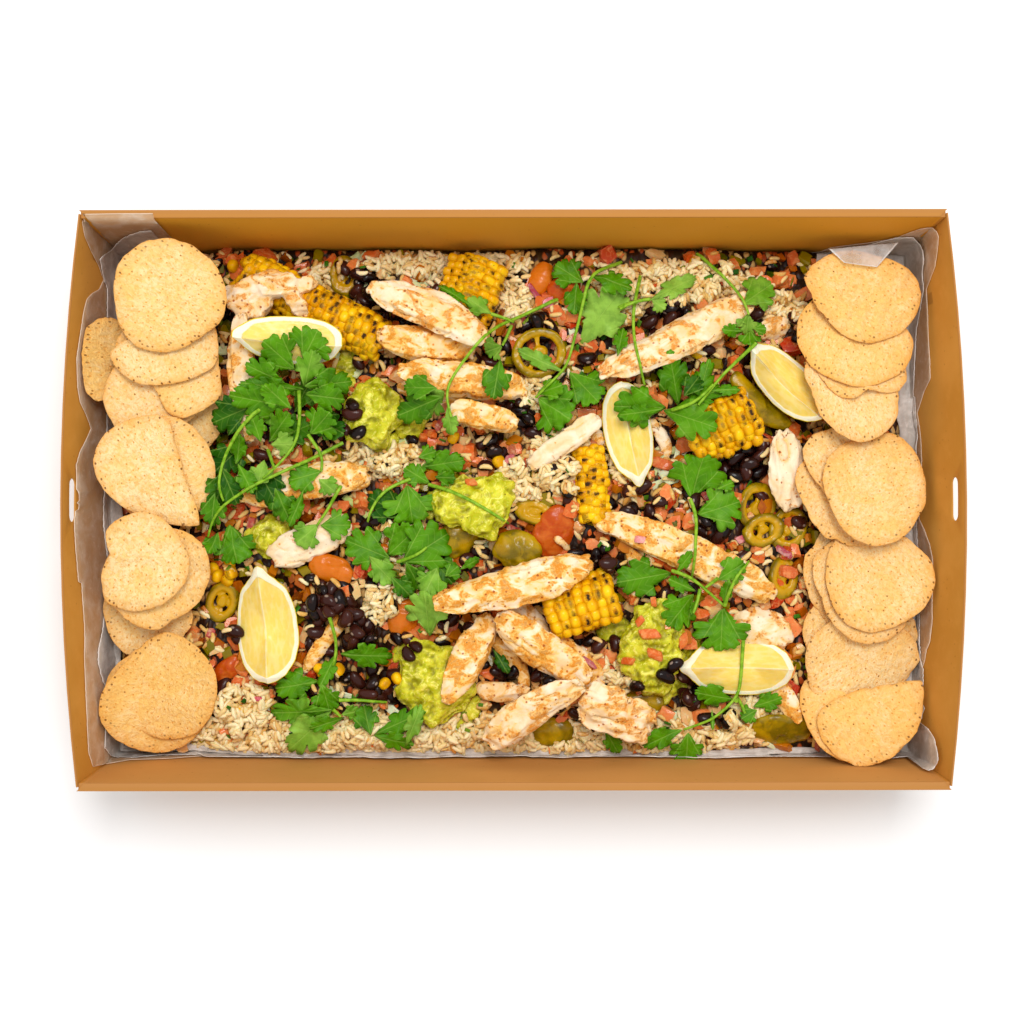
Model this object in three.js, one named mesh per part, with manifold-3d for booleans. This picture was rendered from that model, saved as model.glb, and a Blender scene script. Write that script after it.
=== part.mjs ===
// A catering tray of mexican chicken salad: a folded kraft-board tray with a paper liner,
// a bed of rice, beans and diced tomato, and the chicken, corn, guacamole, lemon, jalapeno
// and round corn chips that lie on it. Millimetres, +Z up, origin under the middle of the tray.
import * as THREE from 'three';
import { mergeVertices } from 'three/addons/utils/BufferGeometryUtils.js';
import Module from 'manifold-3d';

const wasm = await Module();
wasm.setup();

// ---- driving sizes -------------------------------------------------------------------------
const trayLength = 450;       // over the ends of the long rims
const trayWidth = 300;        // over the long rims
const trayHeight = 80;
const baseLength = 444;
const baseWidth = 288;
const board = 0.8;            // thickness of the kraft board
const rimWidth = 4;           // a long wall is folded double and its top is this wide
const endBow = 9;             // how far the middle of an end wall bulges at the rim
const endTuck = 2;            // how far an end wall reaches into the hollow long walls
const endSections = 12;
const slotLength = 23;
const slotHeight = 7;
const slotDrop = 12;          // from the rim down to the middle of the slot

const gap = 0.5;              // clearance between pieces that lie against each other
const paper = 0.5;            // the folded liner
const cornerPull = 0.05;      // how far the liner rounds off inside the tray's corners
const cornerSharpness = 8;

const bedHeight = 32;
const bedCrown = 5;           // the heap stands this much higher in the middle
const bedEndFall = 9;         // and falls away towards the ends
const bedSideFall = 5;        // and towards the sides
const bedCellsLong = 32;
const bedCellsWide = 22;

const chipThickness = 1.7;
const chipSides = 12;
const chipInner = 0.55;       // where the inner ring of a chip's face lies, as a share of its radius
const stripSections = 6;
const stripSides = 8;
const wedgeSections = 8;
const wedgeHalfAngle = 44;    // degrees
const wedgeRindSteps = 6;
const kernelPitch = 7.6;
const kernelDip = 0.93;       // the grooves between kernels, as a share of the cob's radius
const cobCore = 3;            // the cob's cut face stands this high on its core
const moundSides = 14;
const ringWall = 0.27;        // a slice of jalapeno: wall as a share of its width
const domeSections = 6;
const domeSides = 8;
const cell = 1.5;             // grid on which the pieces are laid down
const steepest = 0.18;        // the most that a piece leans, as a slope
const finestStep = 0.004;     // where the search for the best lean stops

const radians = THREE.MathUtils.degToRad;

// ---- solids --------------------------------------------------------------------------------
// A closed body from its corners and faces, turned inside out if its volume comes out negative.
function solid(points, faces) {
  let volume = 0;
  for (const [a, b, c] of faces) {
    volume += points[a].dot(new THREE.Vector3().crossVectors(points[b], points[c]));
  }
  const outward = volume > 0 ? faces : faces.map(([a, b, c]) => [a, c, b]);
  const geometry = new THREE.BufferGeometry();
  geometry.setAttribute('position', new THREE.Float32BufferAttribute(points.flatMap(p => p.toArray()), 3));
  geometry.setIndex(outward.flat());
  return geometry;
}

// Rings of equally many points, joined one to the next and closed to a point at both ends.
function loft(startTip, rings, endTip) {
  const sides = rings[0].length;
  const points = [startTip, ...rings.flat(), endTip];
  const last = points.length - 1;
  const faces = [];
  for (let i = 0; i < sides; i++) {
    const next = (i + 1) % sides;
    faces.push([0, 1 + next, 1 + i]);
    for (let ring = 0; ring < rings.length - 1; ring++) {
      const low = 1 + ring * sides;
      const high = low + sides;
      faces.push([low + i, low + next, high + next], [low + i, high + next, high + i]);
    }
    faces.push([last - sides + i, last - sides + next, last]);
  }
  return solid(points, faces);
}

const middle = ring => ring.reduce((sum, p) => sum.add(p), new THREE.Vector3()).divideScalar(ring.length);
const loftFlatEnded = rings => loft(middle(rings[0]), rings, middle(rings[rings.length - 1]));

function reshape(geometry, place) {
  const position = geometry.attributes.position;
  const p = new THREE.Vector3();
  for (let i = 0; i < position.count; i++) {
    place(p.fromBufferAttribute(position, i));
    position.setXYZ(i, p.x, p.y, p.z);
  }
  return geometry;
}

function toManifold(geometry) {
  const bare = geometry.clone();
  bare.deleteAttribute('normal');
  bare.deleteAttribute('uv');
  const merged = mergeVertices(bare, 1e-4);
  return new wasm.Manifold(new wasm.Mesh({
    numProp: 3,
    vertProperties: new Float32Array(merged.attributes.position.array),
    triVerts: new Uint32Array(merged.index.array),
  }));
}

function fromManifold(manifold) {
  const mesh = manifold.getMesh();
  const geometry = new THREE.BufferGeometry();
  geometry.setAttribute('position', new THREE.BufferAttribute(new Float32Array(mesh.vertProperties), 3));
  geometry.setIndex(new THREE.BufferAttribute(new Uint32Array(mesh.triVerts), 1));
  return geometry;
}

// ---- tray ----------------------------------------------------------------------------------
const endLean = (trayLength - baseLength) / 2 / trayHeight;
const sideLean = (trayWidth - baseWidth) / 2 / trayHeight;
const bowAt = (y, z) => endBow * (1 - (2 * y / trayWidth) ** 2) * z / trayHeight;
const endFace = (y, z) => baseLength / 2 + endLean * z + bowAt(y, z);        // outside of an end wall
const sideFace = z => baseWidth / 2 - rimWidth + sideLean * z;               // inside of a long wall

// A long wall: the board goes up outside, over the rim and down inside, with a hollow between.
function longWall(side) {
  const profile = new THREE.Shape([
    new THREE.Vector2(baseWidth / 2, 0),
    new THREE.Vector2(trayWidth / 2, trayHeight),
    new THREE.Vector2(trayWidth / 2 - rimWidth, trayHeight),
    new THREE.Vector2(baseWidth / 2 - rimWidth, 0),
  ]);
  const hollowAt = z => baseWidth / 2 + sideLean * z;
  profile.holes.push(new THREE.Path([
    new THREE.Vector2(hollowAt(board) - board, board),
    new THREE.Vector2(hollowAt(board) - rimWidth + board, board),
    new THREE.Vector2(hollowAt(trayHeight - board) - rimWidth + board, trayHeight - board),
    new THREE.Vector2(hollowAt(trayHeight - board) - board, trayHeight - board),
  ]));
  const wall = new THREE.ExtrudeGeometry(profile, { depth: 1, bevelEnabled: false });
  const rimUnderside = trayHeight - 1.5 * board;
  reshape(wall, p => {
    const mitre = p.y > rimUnderside ? trayWidth / 2 - p.x : 0;      // the rim's ends are cut at 45 degrees
    p.set((2 * p.z - 1) * (baseLength / 2 + endLean * p.y - mitre), p.x, p.y);
  });
  return wall.rotateZ(side > 0 ? 0 : Math.PI);
}

function endWall(side) {
  const rings = [];
  for (let i = 0; i <= endSections; i++) {
    const along = 2 * i / endSections - 1;
    const low = along * (sideFace(0) + endTuck);
    const high = along * (sideFace(trayHeight) + endTuck);
    rings.push([
      new THREE.Vector3(side * endFace(low, 0), low, 0),
      new THREE.Vector3(side * endFace(high, trayHeight), high, trayHeight),
      new THREE.Vector3(side * (endFace(high, trayHeight) - board), high, trayHeight),
      new THREE.Vector3(side * (endFace(low, 0) - board), low, 0),
    ]);
  }
  return loftFlatEnded(rings);
}

function slotCutter(side) {
  const r = slotHeight / 2;
  const straight = slotLength / 2 - r;
  const outline = new THREE.Shape();
  outline.absarc(straight, 0, r, -Math.PI / 2, Math.PI / 2);
  outline.absarc(-straight, 0, r, Math.PI / 2, 3 * Math.PI / 2);
  const depth = 30;
  const cutter = new THREE.ExtrudeGeometry(outline, { depth, bevelEnabled: false, curveSegments: 6 });
  const centre = side * (trayLength / 2 + endBow / 2);
  return reshape(cutter, p => p.set(centre + depth / 2 - p.z, -p.x, p.y + trayHeight - slotDrop));
}

function trayGeometry() {
  const base = new THREE.BoxGeometry(baseLength, baseWidth, board).translate(0, 0, board / 2);
  let tray = toManifold(base);
  for (const side of [-1, 1]) {
    tray = tray.add(toManifold(longWall(side))).add(toManifold(endWall(side)));
  }
  for (const side of [-1, 1]) {
    tray = tray.subtract(toManifold(slotCutter(side)));
  }
  return fromManifold(tray);
}

// ---- inside of the tray --------------------------------------------------------------------
// A point inside the tray: u and v run from -1 to 1 between the walls, inset is the clearance.
function insideTray(u, v, z, inset) {
  const pull = 1 - cornerPull * (u * v) ** cornerSharpness;
  const y = v * pull * (sideFace(z) - inset);
  return new THREE.Vector3(u * pull * (endFace(y, z) - board - inset), y, z);
}

// Once round the walls, in steps of the bed's cells.
function wallStations() {
  const stations = [];
  for (let i = 0; i < bedCellsLong; i++) stations.push([2 * i / bedCellsLong - 1, -1]);
  for (let j = 0; j < bedCellsWide; j++) stations.push([1, 2 * j / bedCellsWide - 1]);
  for (let i = bedCellsLong; i > 0; i--) stations.push([2 * i / bedCellsLong - 1, 1]);
  for (let j = bedCellsWide; j > 0; j--) stations.push([-1, 2 * j / bedCellsWide - 1]);
  return stations;
}

// The liner's edge: low along the walls, with folds that stand up: [u, v, rise, spread].
const linerEdge = 40;
const linerFolds = [
  [-1, 1, 37, 0.32], [-1, 0.6, 22, 0.22], [-1, 0, 17, 0.3], [-1, -0.7, 20, 0.3],
  [1, 1, 18, 0.22], [1, 0.7, 8, 0.15], [1, -1, 16, 0.16], [0.2, 1, -8, 0.5], [1, -0.2, 4, 0.3],
];
function linerHeight(u, v) {
  const folds = linerFolds.reduce((sum, [a, b, rise, spread]) =>
    sum + rise * Math.exp(-((u - a) ** 2 + (v - b) ** 2) / spread ** 2), 0);
  return linerEdge + folds + 1.5 * Math.sin(9 * u + 7 * v);
}

function linerGeometry() {
  const floor = board + gap;
  const outerEdge = wallStations().map(([u, v]) => insideTray(u, v, linerHeight(u, v), gap));
  const innerEdge = wallStations().map(([u, v]) => insideTray(u, v, linerHeight(u, v), gap + paper));
  const outerFloor = wallStations().map(([u, v]) => insideTray(u, v, floor, gap));
  const innerFloor = wallStations().map(([u, v]) => insideTray(u, v, floor + paper, gap + paper));
  return loft(
    new THREE.Vector3(0, 0, floor),
    [outerFloor, outerEdge, innerEdge, innerFloor],
    new THREE.Vector3(0, 0, floor + paper),
  );
}

// ---- salad bed -----------------------------------------------------------------------------
const bedFloor = board + gap + paper + gap;
const bedInset = gap + paper + gap;
const lumps = (x, y) => 1.6 * Math.sin(x / 13 + 1.3 * Math.sin(y / 21)) * Math.cos(y / 11 + 0.7)
  + 1.3 * Math.sin(x / 31 - y / 17 + 2) + 0.8 * Math.cos(x / 7 + y / 9);
const heapHeight = (x, y, u, v) => bedHeight + bedCrown * (1 - u * u) * (1 - v * v)
  - bedEndFall * u ** 4 - bedSideFall * v ** 6 + lumps(x, y);

function bedGeometry(dents) {
  const topPoint = (u, v) => {
    const guess = insideTray(u, v, bedHeight, bedInset);
    let height = heapHeight(guess.x, guess.y, u, v);
    for (const dent of dents) {
      const away = Math.hypot(guess.x - dent.x, guess.y - dent.y) / dent.reach;
      height -= dent.depth * Math.exp(-(away ** 4));
    }
    return insideTray(u, v, height, bedInset);
  };
  const points = [];
  const faces = [];
  const row = bedCellsWide + 1;
  for (let i = 0; i <= bedCellsLong; i++) {
    for (let j = 0; j <= bedCellsWide; j++) {
      points.push(topPoint(2 * i / bedCellsLong - 1, 2 * j / bedCellsWide - 1));
      if (i > 0 && j > 0) {
        const corner = i * row + j;
        faces.push([corner - row - 1, corner - 1, corner], [corner - row - 1, corner, corner - row]);
      }
    }
  }
  const stations = wallStations();
  const step = (value, cells) => Math.round((value + 1) / 2 * cells);
  const rimIndex = ([u, v]) => step(u, bedCellsLong) * row + step(v, bedCellsWide);
  const firstLow = points.length;
  stations.forEach(([u, v]) => points.push(insideTray(u, v, bedFloor, bedInset)));
  points.push(new THREE.Vector3(0, 0, bedFloor));
  stations.forEach((station, k) => {
    const next = (k + 1) % stations.length;
    const a = rimIndex(station);
    const b = rimIndex(stations[next]);
    faces.push([a, firstLow + k, firstLow + next], [a, firstLow + next, b]);
    faces.push([firstLow + next, firstLow + k, points.length - 1]);
  });
  return solid(points, faces);
}

// ---- toppings, each made round its own middle with its underside near z = 0 ------------------
const wave = (a, seed) => Math.sin(2 * a + seed) + 0.7 * Math.sin(3 * a + 2.3 * seed);

// A round corn chip, cupped along one line; a broken one ends at a straight edge.
function chip({ length, width, curl = 2, curlTurn = 0, cut = null, seed }) {
  const ringAt = (scale, lift) => {
    const ring = [];
    for (let i = 0; i < chipSides; i++) {
      const a = 2 * Math.PI * i / chipSides;
      const r = scale * (1 + 0.018 * wave(a, seed));
      let x = r * Math.cos(a);
      let y = r * Math.sin(a);
      if (cut) {
        const reach = x * Math.cos(radians(cut.turn)) + y * Math.sin(radians(cut.turn));
        const over = Math.max(0, reach - cut.at * scale);
        x -= over * Math.cos(radians(cut.turn));
        y -= over * Math.sin(radians(cut.turn));
      }
      const across = x * Math.cos(radians(curlTurn)) + y * Math.sin(radians(curlTurn));
      ring.push(new THREE.Vector3(x * length / 2, y * width / 2, curl * across * across + lift));
    }
    return ring;
  };
  return loft(
    new THREE.Vector3(0, 0, chipThickness),
    [ringAt(chipInner, chipThickness), ringAt(1, chipThickness), ringAt(1, 0), ringAt(chipInner, 0)],
    new THREE.Vector3(0, 0, 0),
  );
}

// A sliced or torn strip of chicken breast: flat below, domed above, narrower at its ends.
function chickenStrip({ length, width, height = 10, bend = 0, blunt = 0.5, seed }) {
  const rings = [];
  for (let i = 0; i < stripSections; i++) {
    const t = 2 * i / (stripSections - 1) - 1;
    const taper = blunt + (1 - blunt) * Math.sqrt(Math.max(0, 1 - t * t));
    const halfWidth = width / 2 * taper * (1 + 0.08 * Math.sin(3 * t + seed));
    const top = height * (0.55 + 0.45 * taper) * (1 + 0.08 * Math.cos(4 * t + 1.7 * seed));
    const x = length / 2 * (t + 0.04 * Math.sin(seed));
    const y = bend * (1 - t * t);
    const ring = [];
    for (let k = 0; k < stripSides; k++) {
      const a = 2 * Math.PI * (k + 0.5) / stripSides;
      const round = (value, power) => Math.sign(value) * Math.abs(value) ** power;
      ring.push(new THREE.Vector3(
        x, y + halfWidth * round(Math.cos(a), 0.7), top / 2 + top / 2 * round(Math.sin(a), 0.8),
      ));
    }
    rings.push(ring);
  }
  return loftFlatEnded(rings);
}

// A lemon wedge lying on its rind with the core edge up.
function lemonWedge({ length, width, roll = 0 }) {
  const halfAngle = radians(wedgeHalfAngle);
  const radius = width / 2 / Math.sin(halfAngle);
  const ridge = 0.12 * radius;
  const rings = [];
  for (let i = 0; i < wedgeSections; i++) {
    const t = 2 * (i + 0.5) / wedgeSections - 1;
    const swell = Math.sqrt(1 - 0.96 * t * t);
    const ring = [new THREE.Vector3(t * length / 2, 0, ridge * swell)];
    for (let k = 0; k <= wedgeRindSteps; k++) {
      const a = -Math.PI / 2 + halfAngle * (2 * k / wedgeRindSteps - 1);
      const r = radius * swell;
      ring.push(new THREE.Vector3(t * length / 2, r * Math.cos(a), r * Math.sin(a)));
    }
    rings.push(ring);
  }
  const tip = side => new THREE.Vector3(side * length / 2, 0, -ridge);
  return loft(tip(-1), rings, tip(1)).rotateX(radians(roll)).translate(0, 0, radius);
}

// A length of corn cob cut along its core: rows of kernels on the round side, flat below.
function cornPiece({ length, width, height = 16, rows = 5 }) {
  const kernels = Math.max(3, Math.round(length / kernelPitch));
  const steps = 2 * rows;
  const rings = [];
  for (let i = 0; i <= 2 * kernels; i++) {
    const x = length * (i / (2 * kernels) - 0.5);
    const swell = i % 2 ? 1 : kernelDip;
    const ring = [];
    for (let k = 0; k <= steps; k++) {
      const a = Math.PI * k / steps;
      const r = swell * (k % 2 ? 1 : kernelDip);
      const z = cobCore + (height - cobCore) * r * Math.sin(a);
      ring.push(new THREE.Vector3(x, width / 2 * r * Math.cos(a), z));
    }
    ring.push(new THREE.Vector3(x, -width / 3, 0), new THREE.Vector3(x, width / 3, 0));
    rings.push(ring);
  }
  return loftFlatEnded(rings);
}

// A spoonful of crushed avocado: an uneven mound with a ragged outline.
function guacamole({ length, width, height = 13, seed }) {
  const ringAt = (scale, level) => {
    const ring = [];
    for (let i = 0; i < moundSides; i++) {
      const a = 2 * Math.PI * i / moundSides;
      const ragged = scale * (1 + 0.1 * wave(a, seed) + 0.07 * Math.sin(5 * a + seed));
      const lump = level > 0 ? 1 + 0.2 * Math.sin(3 * a + 4 * scale + seed) : 1;
      ring.push(new THREE.Vector3(
        length / 2 * ragged * Math.cos(a), width / 2 * ragged * Math.sin(a), height * level * lump,
      ));
    }
    return ring;
  };
  return loft(
    new THREE.Vector3(0, 0, height),
    [ringAt(0.38, 0.85), ringAt(0.72, 0.7), ringAt(0.95, 0.32), ringAt(0.9, 0)],
    new THREE.Vector3(0, 0, 0),
  );
}

// A slice across a jalapeno: a ring with a hole where the seeds were.
function jalapenoRing({ length, width, height = 5 }) {
  const hole = 0.5 - ringWall;
  const edge = 0.47;
  const profile = [
    new THREE.Vector2(hole, 0), new THREE.Vector2(edge, 0), new THREE.Vector2(0.5, 0.5),
    new THREE.Vector2(edge, 1), new THREE.Vector2(hole, 1), new THREE.Vector2(hole, 0),
  ];
  const ring = new THREE.LatheGeometry(profile, 16);
  return reshape(ring, p => p.set(p.x * length, -p.z * width, p.y * height));
}

// The end of a jalapeno, or a long piece of its wall: a dome, bent if need be.
function jalapenoDome({ length, width, height = 10, bend = 0 }) {
  const belly = 0.42;      // how much of the height lies below its widest line
  const rings = [];
  for (let i = 0; i < domeSections; i++) {
    const t = 2 * (i + 0.5) / domeSections - 1;
    const swell = Math.sqrt(1 - t * t);
    const ring = [];
    for (let k = 0; k < domeSides; k++) {
      const a = 2 * Math.PI * k / domeSides;
      const share = Math.sin(a) > 0 ? 1 - belly : belly;
      ring.push(new THREE.Vector3(
        t * length / 2,
        bend * (1 - t * t) + width / 2 * swell * Math.cos(a),
        height * (belly + swell * share * Math.sin(a)),
      ));
    }
    rings.push(ring);
  }
  return loftFlatEnded(rings);
}

// ---- laying down ---------------------------------------------------------------------------
// The ground is a grid of heights over the tray. A piece keeps its outline as seen from above, is
// leaned to the slope on which its middle comes lowest, and then lies on whatever is under it.
const columns = Math.ceil((trayLength + 2 * endBow + 20) / cell);
const lines = Math.ceil((trayWidth + 20) / cell);
const ground = new Float32Array(columns * lines);

function cellsUnder(geometry) {
  const position = geometry.attributes.position;
  const index = geometry.index ? geometry.index.array : [...Array(position.count).keys()];
  const cells = new Map();
  const [a, b, c, p] = [0, 0, 0, 0].map(() => new THREE.Vector3());
  for (let f = 0; f < index.length; f += 3) {
    a.fromBufferAttribute(position, index[f]);
    b.fromBufferAttribute(position, index[f + 1]);
    c.fromBufferAttribute(position, index[f + 2]);
    const steps = Math.ceil(Math.max(a.distanceTo(b), b.distanceTo(c), c.distanceTo(a)) / (cell / 2));
    for (let i = 0; i <= steps; i++) {
      for (let j = 0; i + j <= steps; j++) {
        p.copy(a).multiplyScalar(steps - i - j).addScaledVector(b, i).addScaledVector(c, j);
        p.divideScalar(steps);
        const key = Math.floor(p.y / cell + lines / 2) * columns + Math.floor(p.x / cell + columns / 2);
        const seen = cells.get(key) ?? { x: p.x, y: p.y, low: Infinity, high: -Infinity };
        seen.low = Math.min(seen.low, p.z);
        seen.high = Math.max(seen.high, p.z);
        cells.set(key, seen);
      }
    }
  }
  return cells;
}

function raiseGround(geometry) {
  for (const [key, { high }] of cellsUnder(geometry)) {
    ground[key] = Math.max(ground[key], high);
  }
}

function groundNear(key) {
  let height = 0;
  for (const line of [-columns, 0, columns]) {
    for (const column of [-1, 0, 1]) height = Math.max(height, ground[key + line + column]);
  }
  return height;
}

function layDown(geometry, x, y, lean) {
  const under = [...cellsUnder(geometry.translate(x, y, 0))].map(([key, c]) => ({
    x: c.x - x, y: c.y - y, clearance: groundNear(key) + gap - c.low,
  }));
  const heightAt = (a, b) =>
    under.reduce((most, c) => Math.max(most, c.clearance - a * c.x - b * c.y), -Infinity);
  let best = lean ? { a: lean[0], b: lean[1] } : { a: 0, b: 0 };
  best.height = heightAt(best.a, best.b);
  for (let step = steepest / 4; !lean && step > finestStep; step /= 2) {
    const { a, b } = best;
    for (let i = -3; i <= 3; i++) {
      for (let j = -3; j <= 3; j++) {
        const tryA = THREE.MathUtils.clamp(a + i * step, -steepest, steepest);
        const tryB = THREE.MathUtils.clamp(b + j * step, -steepest, steepest);
        const height = heightAt(tryA, tryB);
        if (height < best.height) best = { a: tryA, b: tryB, height };
      }
    }
  }
  reshape(geometry, p => p.set(p.x, p.y, p.z + best.height + best.a * (p.x - x) + best.b * (p.y - y)));
  raiseGround(geometry);
  return geometry;
}

// ---- materials -----------------------------------------------------------------------------
const finish = (color, roughness) => new THREE.MeshStandardMaterial({ color, roughness, metalness: 0 });
const finishes = {
  kraft: finish('#c08a4e', 0.8),
  liner: finish('#bfb8ac', 0.5),
  salad: finish('#8a6a3c', 0.6),
  chip: finish('#f3cf86', 0.75),
  chicken: finish('#f3dcc2', 0.6),
  lemon: finish('#efdc78', 0.4),
  corn: finish('#eebb22', 0.45),
  guacamole: finish('#bcc244', 0.5),
  jalapeno: finish('#84781a', 0.3),
};

// ---- where everything lies: name, maker, place, turn and sizes, lowest pieces first ----------
const toppings = [
  ['jalapeno_end', jalapenoDome, 2, -27, { turn: -25, length: 31, width: 24 }],
  ['jalapeno_strip', jalapenoDome, 137, 56, { turn: -42, length: 52, width: 15, height: 8, bend: -5 }],
  ['guacamole_1', guacamole, -77, 48, { length: 34, width: 42, seed: 1 }],
  ['guacamole_2', guacamole, -22, -2, { length: 46, width: 40, seed: 2 }],
  ['guacamole_3', guacamole, -44, -100, { length: 46, width: 50, seed: 3.5 }],
  ['guacamole_4', guacamole, 76, -79, { length: 42, width: 54, seed: 5 }],
  ['corn_1', cornPiece, -109, 106, { turn: -27, length: 86, width: 27, rows: 4 }],
  ['corn_2', cornPiece, -24, 115, { turn: 72, length: 38, width: 36, height: 13, rows: 5 }],
  ['corn_3', cornPiece, 112, 40, { turn: 24, length: 38, width: 34, rows: 5 }],
  ['corn_4', cornPiece, 37, -56, { turn: 18, length: 38, width: 32, rows: 5 }],
  ['jalapeno_ring', jalapenoRing, 14, 81, { turn: 0, length: 30, width: 27 }],
  ['lemon_2', lemonWedge, 63, 37, { turn: -80, length: 56, width: 27 }],
  ['lemon_3', lemonWedge, 146, 62, { turn: -44, length: 55, width: 27, roll: 14 }],
  ['lemon_4', lemonWedge, -135, -68, { turn: -85, length: 61, width: 34 }],
  ['lemon_5', lemonWedge, 122, -91, { turn: -1, length: 60, width: 31 }],
  ['chicken_2', chickenStrip, -48, 84, { turn: -9, length: 54, width: 18, seed: 2 }],
  ['chicken_3', chickenStrip, -27, 65, { turn: -8, length: 71, width: 19, seed: 3 }],
  ['chicken_1', chickenStrip, -47, 100, { turn: -24, length: 69, width: 21, bend: 2, seed: 1 }],
  ['chicken_4', chickenStrip, -15, 45, { turn: -12, length: 38, width: 15, seed: 4 }],
  ['chicken_5', chickenStrip, 28, 32, { turn: 35, length: 48, width: 14, seed: 5 }],
  ['chicken_6', chickenStrip, 89, 90, { turn: 27, length: 97, width: 21, bend: -3, seed: 6 }],
  ['chicken_7', chickenStrip, 149, 17, { turn: -84, length: 46, width: 21, height: 9, seed: 7 }],
  ['chicken_8', chickenStrip, -131, 112, { turn: 14, length: 48, width: 24, height: 8, seed: 8 }],
  ['chicken_10', chickenStrip, -113, 9, { turn: 8, length: 74, width: 23, bend: 2, seed: 10 }],
  ['chicken_11', chickenStrip, -110, -21, { turn: 24, length: 50, width: 21, height: 8, seed: 11 }],
  ['chicken_12', chickenStrip, 94, -31, { turn: -24, length: 109, width: 21, bend: 3, seed: 12 }],
  ['chicken_14', chickenStrip, -25, -86, { turn: 63, length: 54, width: 18, seed: 14 }],
  ['chicken_15', chickenStrip, 15, -79, { turn: -35, length: 62, width: 21, seed: 15 }],
  ['chicken_13', chickenStrip, -1, -44, { turn: 15, length: 89, width: 22, bend: -3, seed: 13 }],
  ['chicken_17', chickenStrip, 56, -115,
    { turn: -24, length: 42, width: 27, blunt: 0.75, height: 9, seed: 17 }],
  ['chicken_16', chickenStrip, 11, -114, { turn: 32, length: 63, width: 20, bend: 3, seed: 16 }],

  ['chip_left_1', chip, -210, 75, { length: 35, width: 46, lean: [-1, 0], seed: 1 }],
  ['chip_left_2', chip, -184, 52, { length: 56, width: 52, curl: 2.5, seed: 2 }],
  ['chip_left_3', chip, -191, 66, { length: 56, width: 56, curlTurn: 60, seed: 3 }],
  ['chip_left_4', chip, -185, 73, { length: 55, width: 56, curlTurn: 110, seed: 4 }],
  ['chip_left_5', chip, -185, 86, { length: 54, width: 54, curl: 3, curlTurn: 90, seed: 5 }],
  ['chip_left_6', chip, -189, 16, { length: 56, width: 56, seed: 6 }],
  ['chip_left_7', chip, -193, 15,
    { length: 58, width: 59, curlTurn: 30, cut: { turn: 14, at: 0.62 }, seed: 7 }],
  ['chip_left_8', chip, -195, -57, { length: 53, width: 57, seed: 8 }],
  ['chip_left_9', chip, -191, -41, { length: 56, width: 55, curlTurn: 45, seed: 9 }],
  ['chip_left_10', chip, -197, -33, { length: 49, width: 52, curl: 3.5, curlTurn: 135, seed: 10 }],
  ['chip_left_11', chip, -193.5, -107, { length: 55, width: 57, curl: 2, seed: 11 }],
  ['chip_left_12', chip, -190, -103, { length: 62, width: 57, curlTurn: 20, seed: 12 }],
  ['chip_left_13', chip, -182, 109, { length: 57, width: 59, curl: 2, seed: 13 }],

  ['chip_right_1', chip, 183, -43, { length: 56, width: 55, seed: 14 }],
  ['chip_right_2', chip, 190, -87, { length: 63, width: 48, curlTurn: 80, seed: 16 }],
  ['chip_right_3', chip, 191, -115, { length: 56, width: 46, curl: 2, lean: [0.1, -0.25], seed: 17 }],
  ['chip_right_4', chip, 189, -47, { length: 57, width: 58, curl: 2, seed: 18 }],
  ['chip_right_5', chip, 196, -43, { length: 59, width: 54, curl: 4, curlTurn: 10, seed: 19 }],
  ['chip_right_6', chip, 181, 2, { length: 56, width: 55, seed: 20 }],
  ['chip_right_7', chip, 184, 12, { length: 57, width: 55, curlTurn: 90, seed: 21 }],
  ['chip_right_8', chip, 194, 6, { length: 56, width: 60, curl: 2, seed: 22 }],
  ['chip_right_9', chip, 183, 59, { length: 53, width: 54, curl: 3.5, curlTurn: 30, seed: 23 }],
  ['chip_right_10', chip, 185, 86, { length: 64, width: 51, curlTurn: 70, seed: 24 }],
  ['chip_right_11', chip, 189, 110, { length: 63, width: 50, curl: 2.5, curlTurn: 20, seed: 15 }],

  ['chicken_9', chickenStrip, -144, 67, { turn: -87, length: 70, width: 15, bend: -2, height: 8, seed: 9 }],
  ['lemon_1', lemonWedge, -119, 83, { turn: -3, length: 57, width: 25, roll: 12 }],
];

const dentDepths = { lemon: 10, corn: 6, guacamole: 4, chicken: 4, jalapeno: 2, chip: 0 };
const kindOf = name => name.split('_')[0];
const dents = toppings
  .map(([name, , x, y, sizes]) => ({ x, y, depth: dentDepths[kindOf(name)], reach: sizes.width * 0.75 }))
  .filter(dent => dent.depth > 0);

// ---- the model -----------------------------------------------------------------------------
const model = new THREE.Group();

function addPiece(name, geometry, material) {
  const mesh = new THREE.Mesh(geometry, material);
  mesh.name = name;
  model.add(mesh);
}

const tray = trayGeometry();
const liner = linerGeometry();
const bed = bedGeometry(dents);
addPiece('tray', tray, finishes.kraft);
addPiece('liner', liner, finishes.liner);
addPiece('salad_bed', bed, finishes.salad);
raiseGround(bed);

for (const [name, make, x, y, sizes] of toppings) {
  const geometry = make(sizes).rotateZ(radians(sizes.turn ?? 0));
  addPiece(name, layDown(geometry, x, y, sizes.lean), finishes[kindOf(name)]);
}

export default model;
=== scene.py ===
import math
import random
import bpy
import numpy as np
from mathutils import Euler, Matrix, Vector, noise
from mathutils.bvhtree import BVHTree


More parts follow.
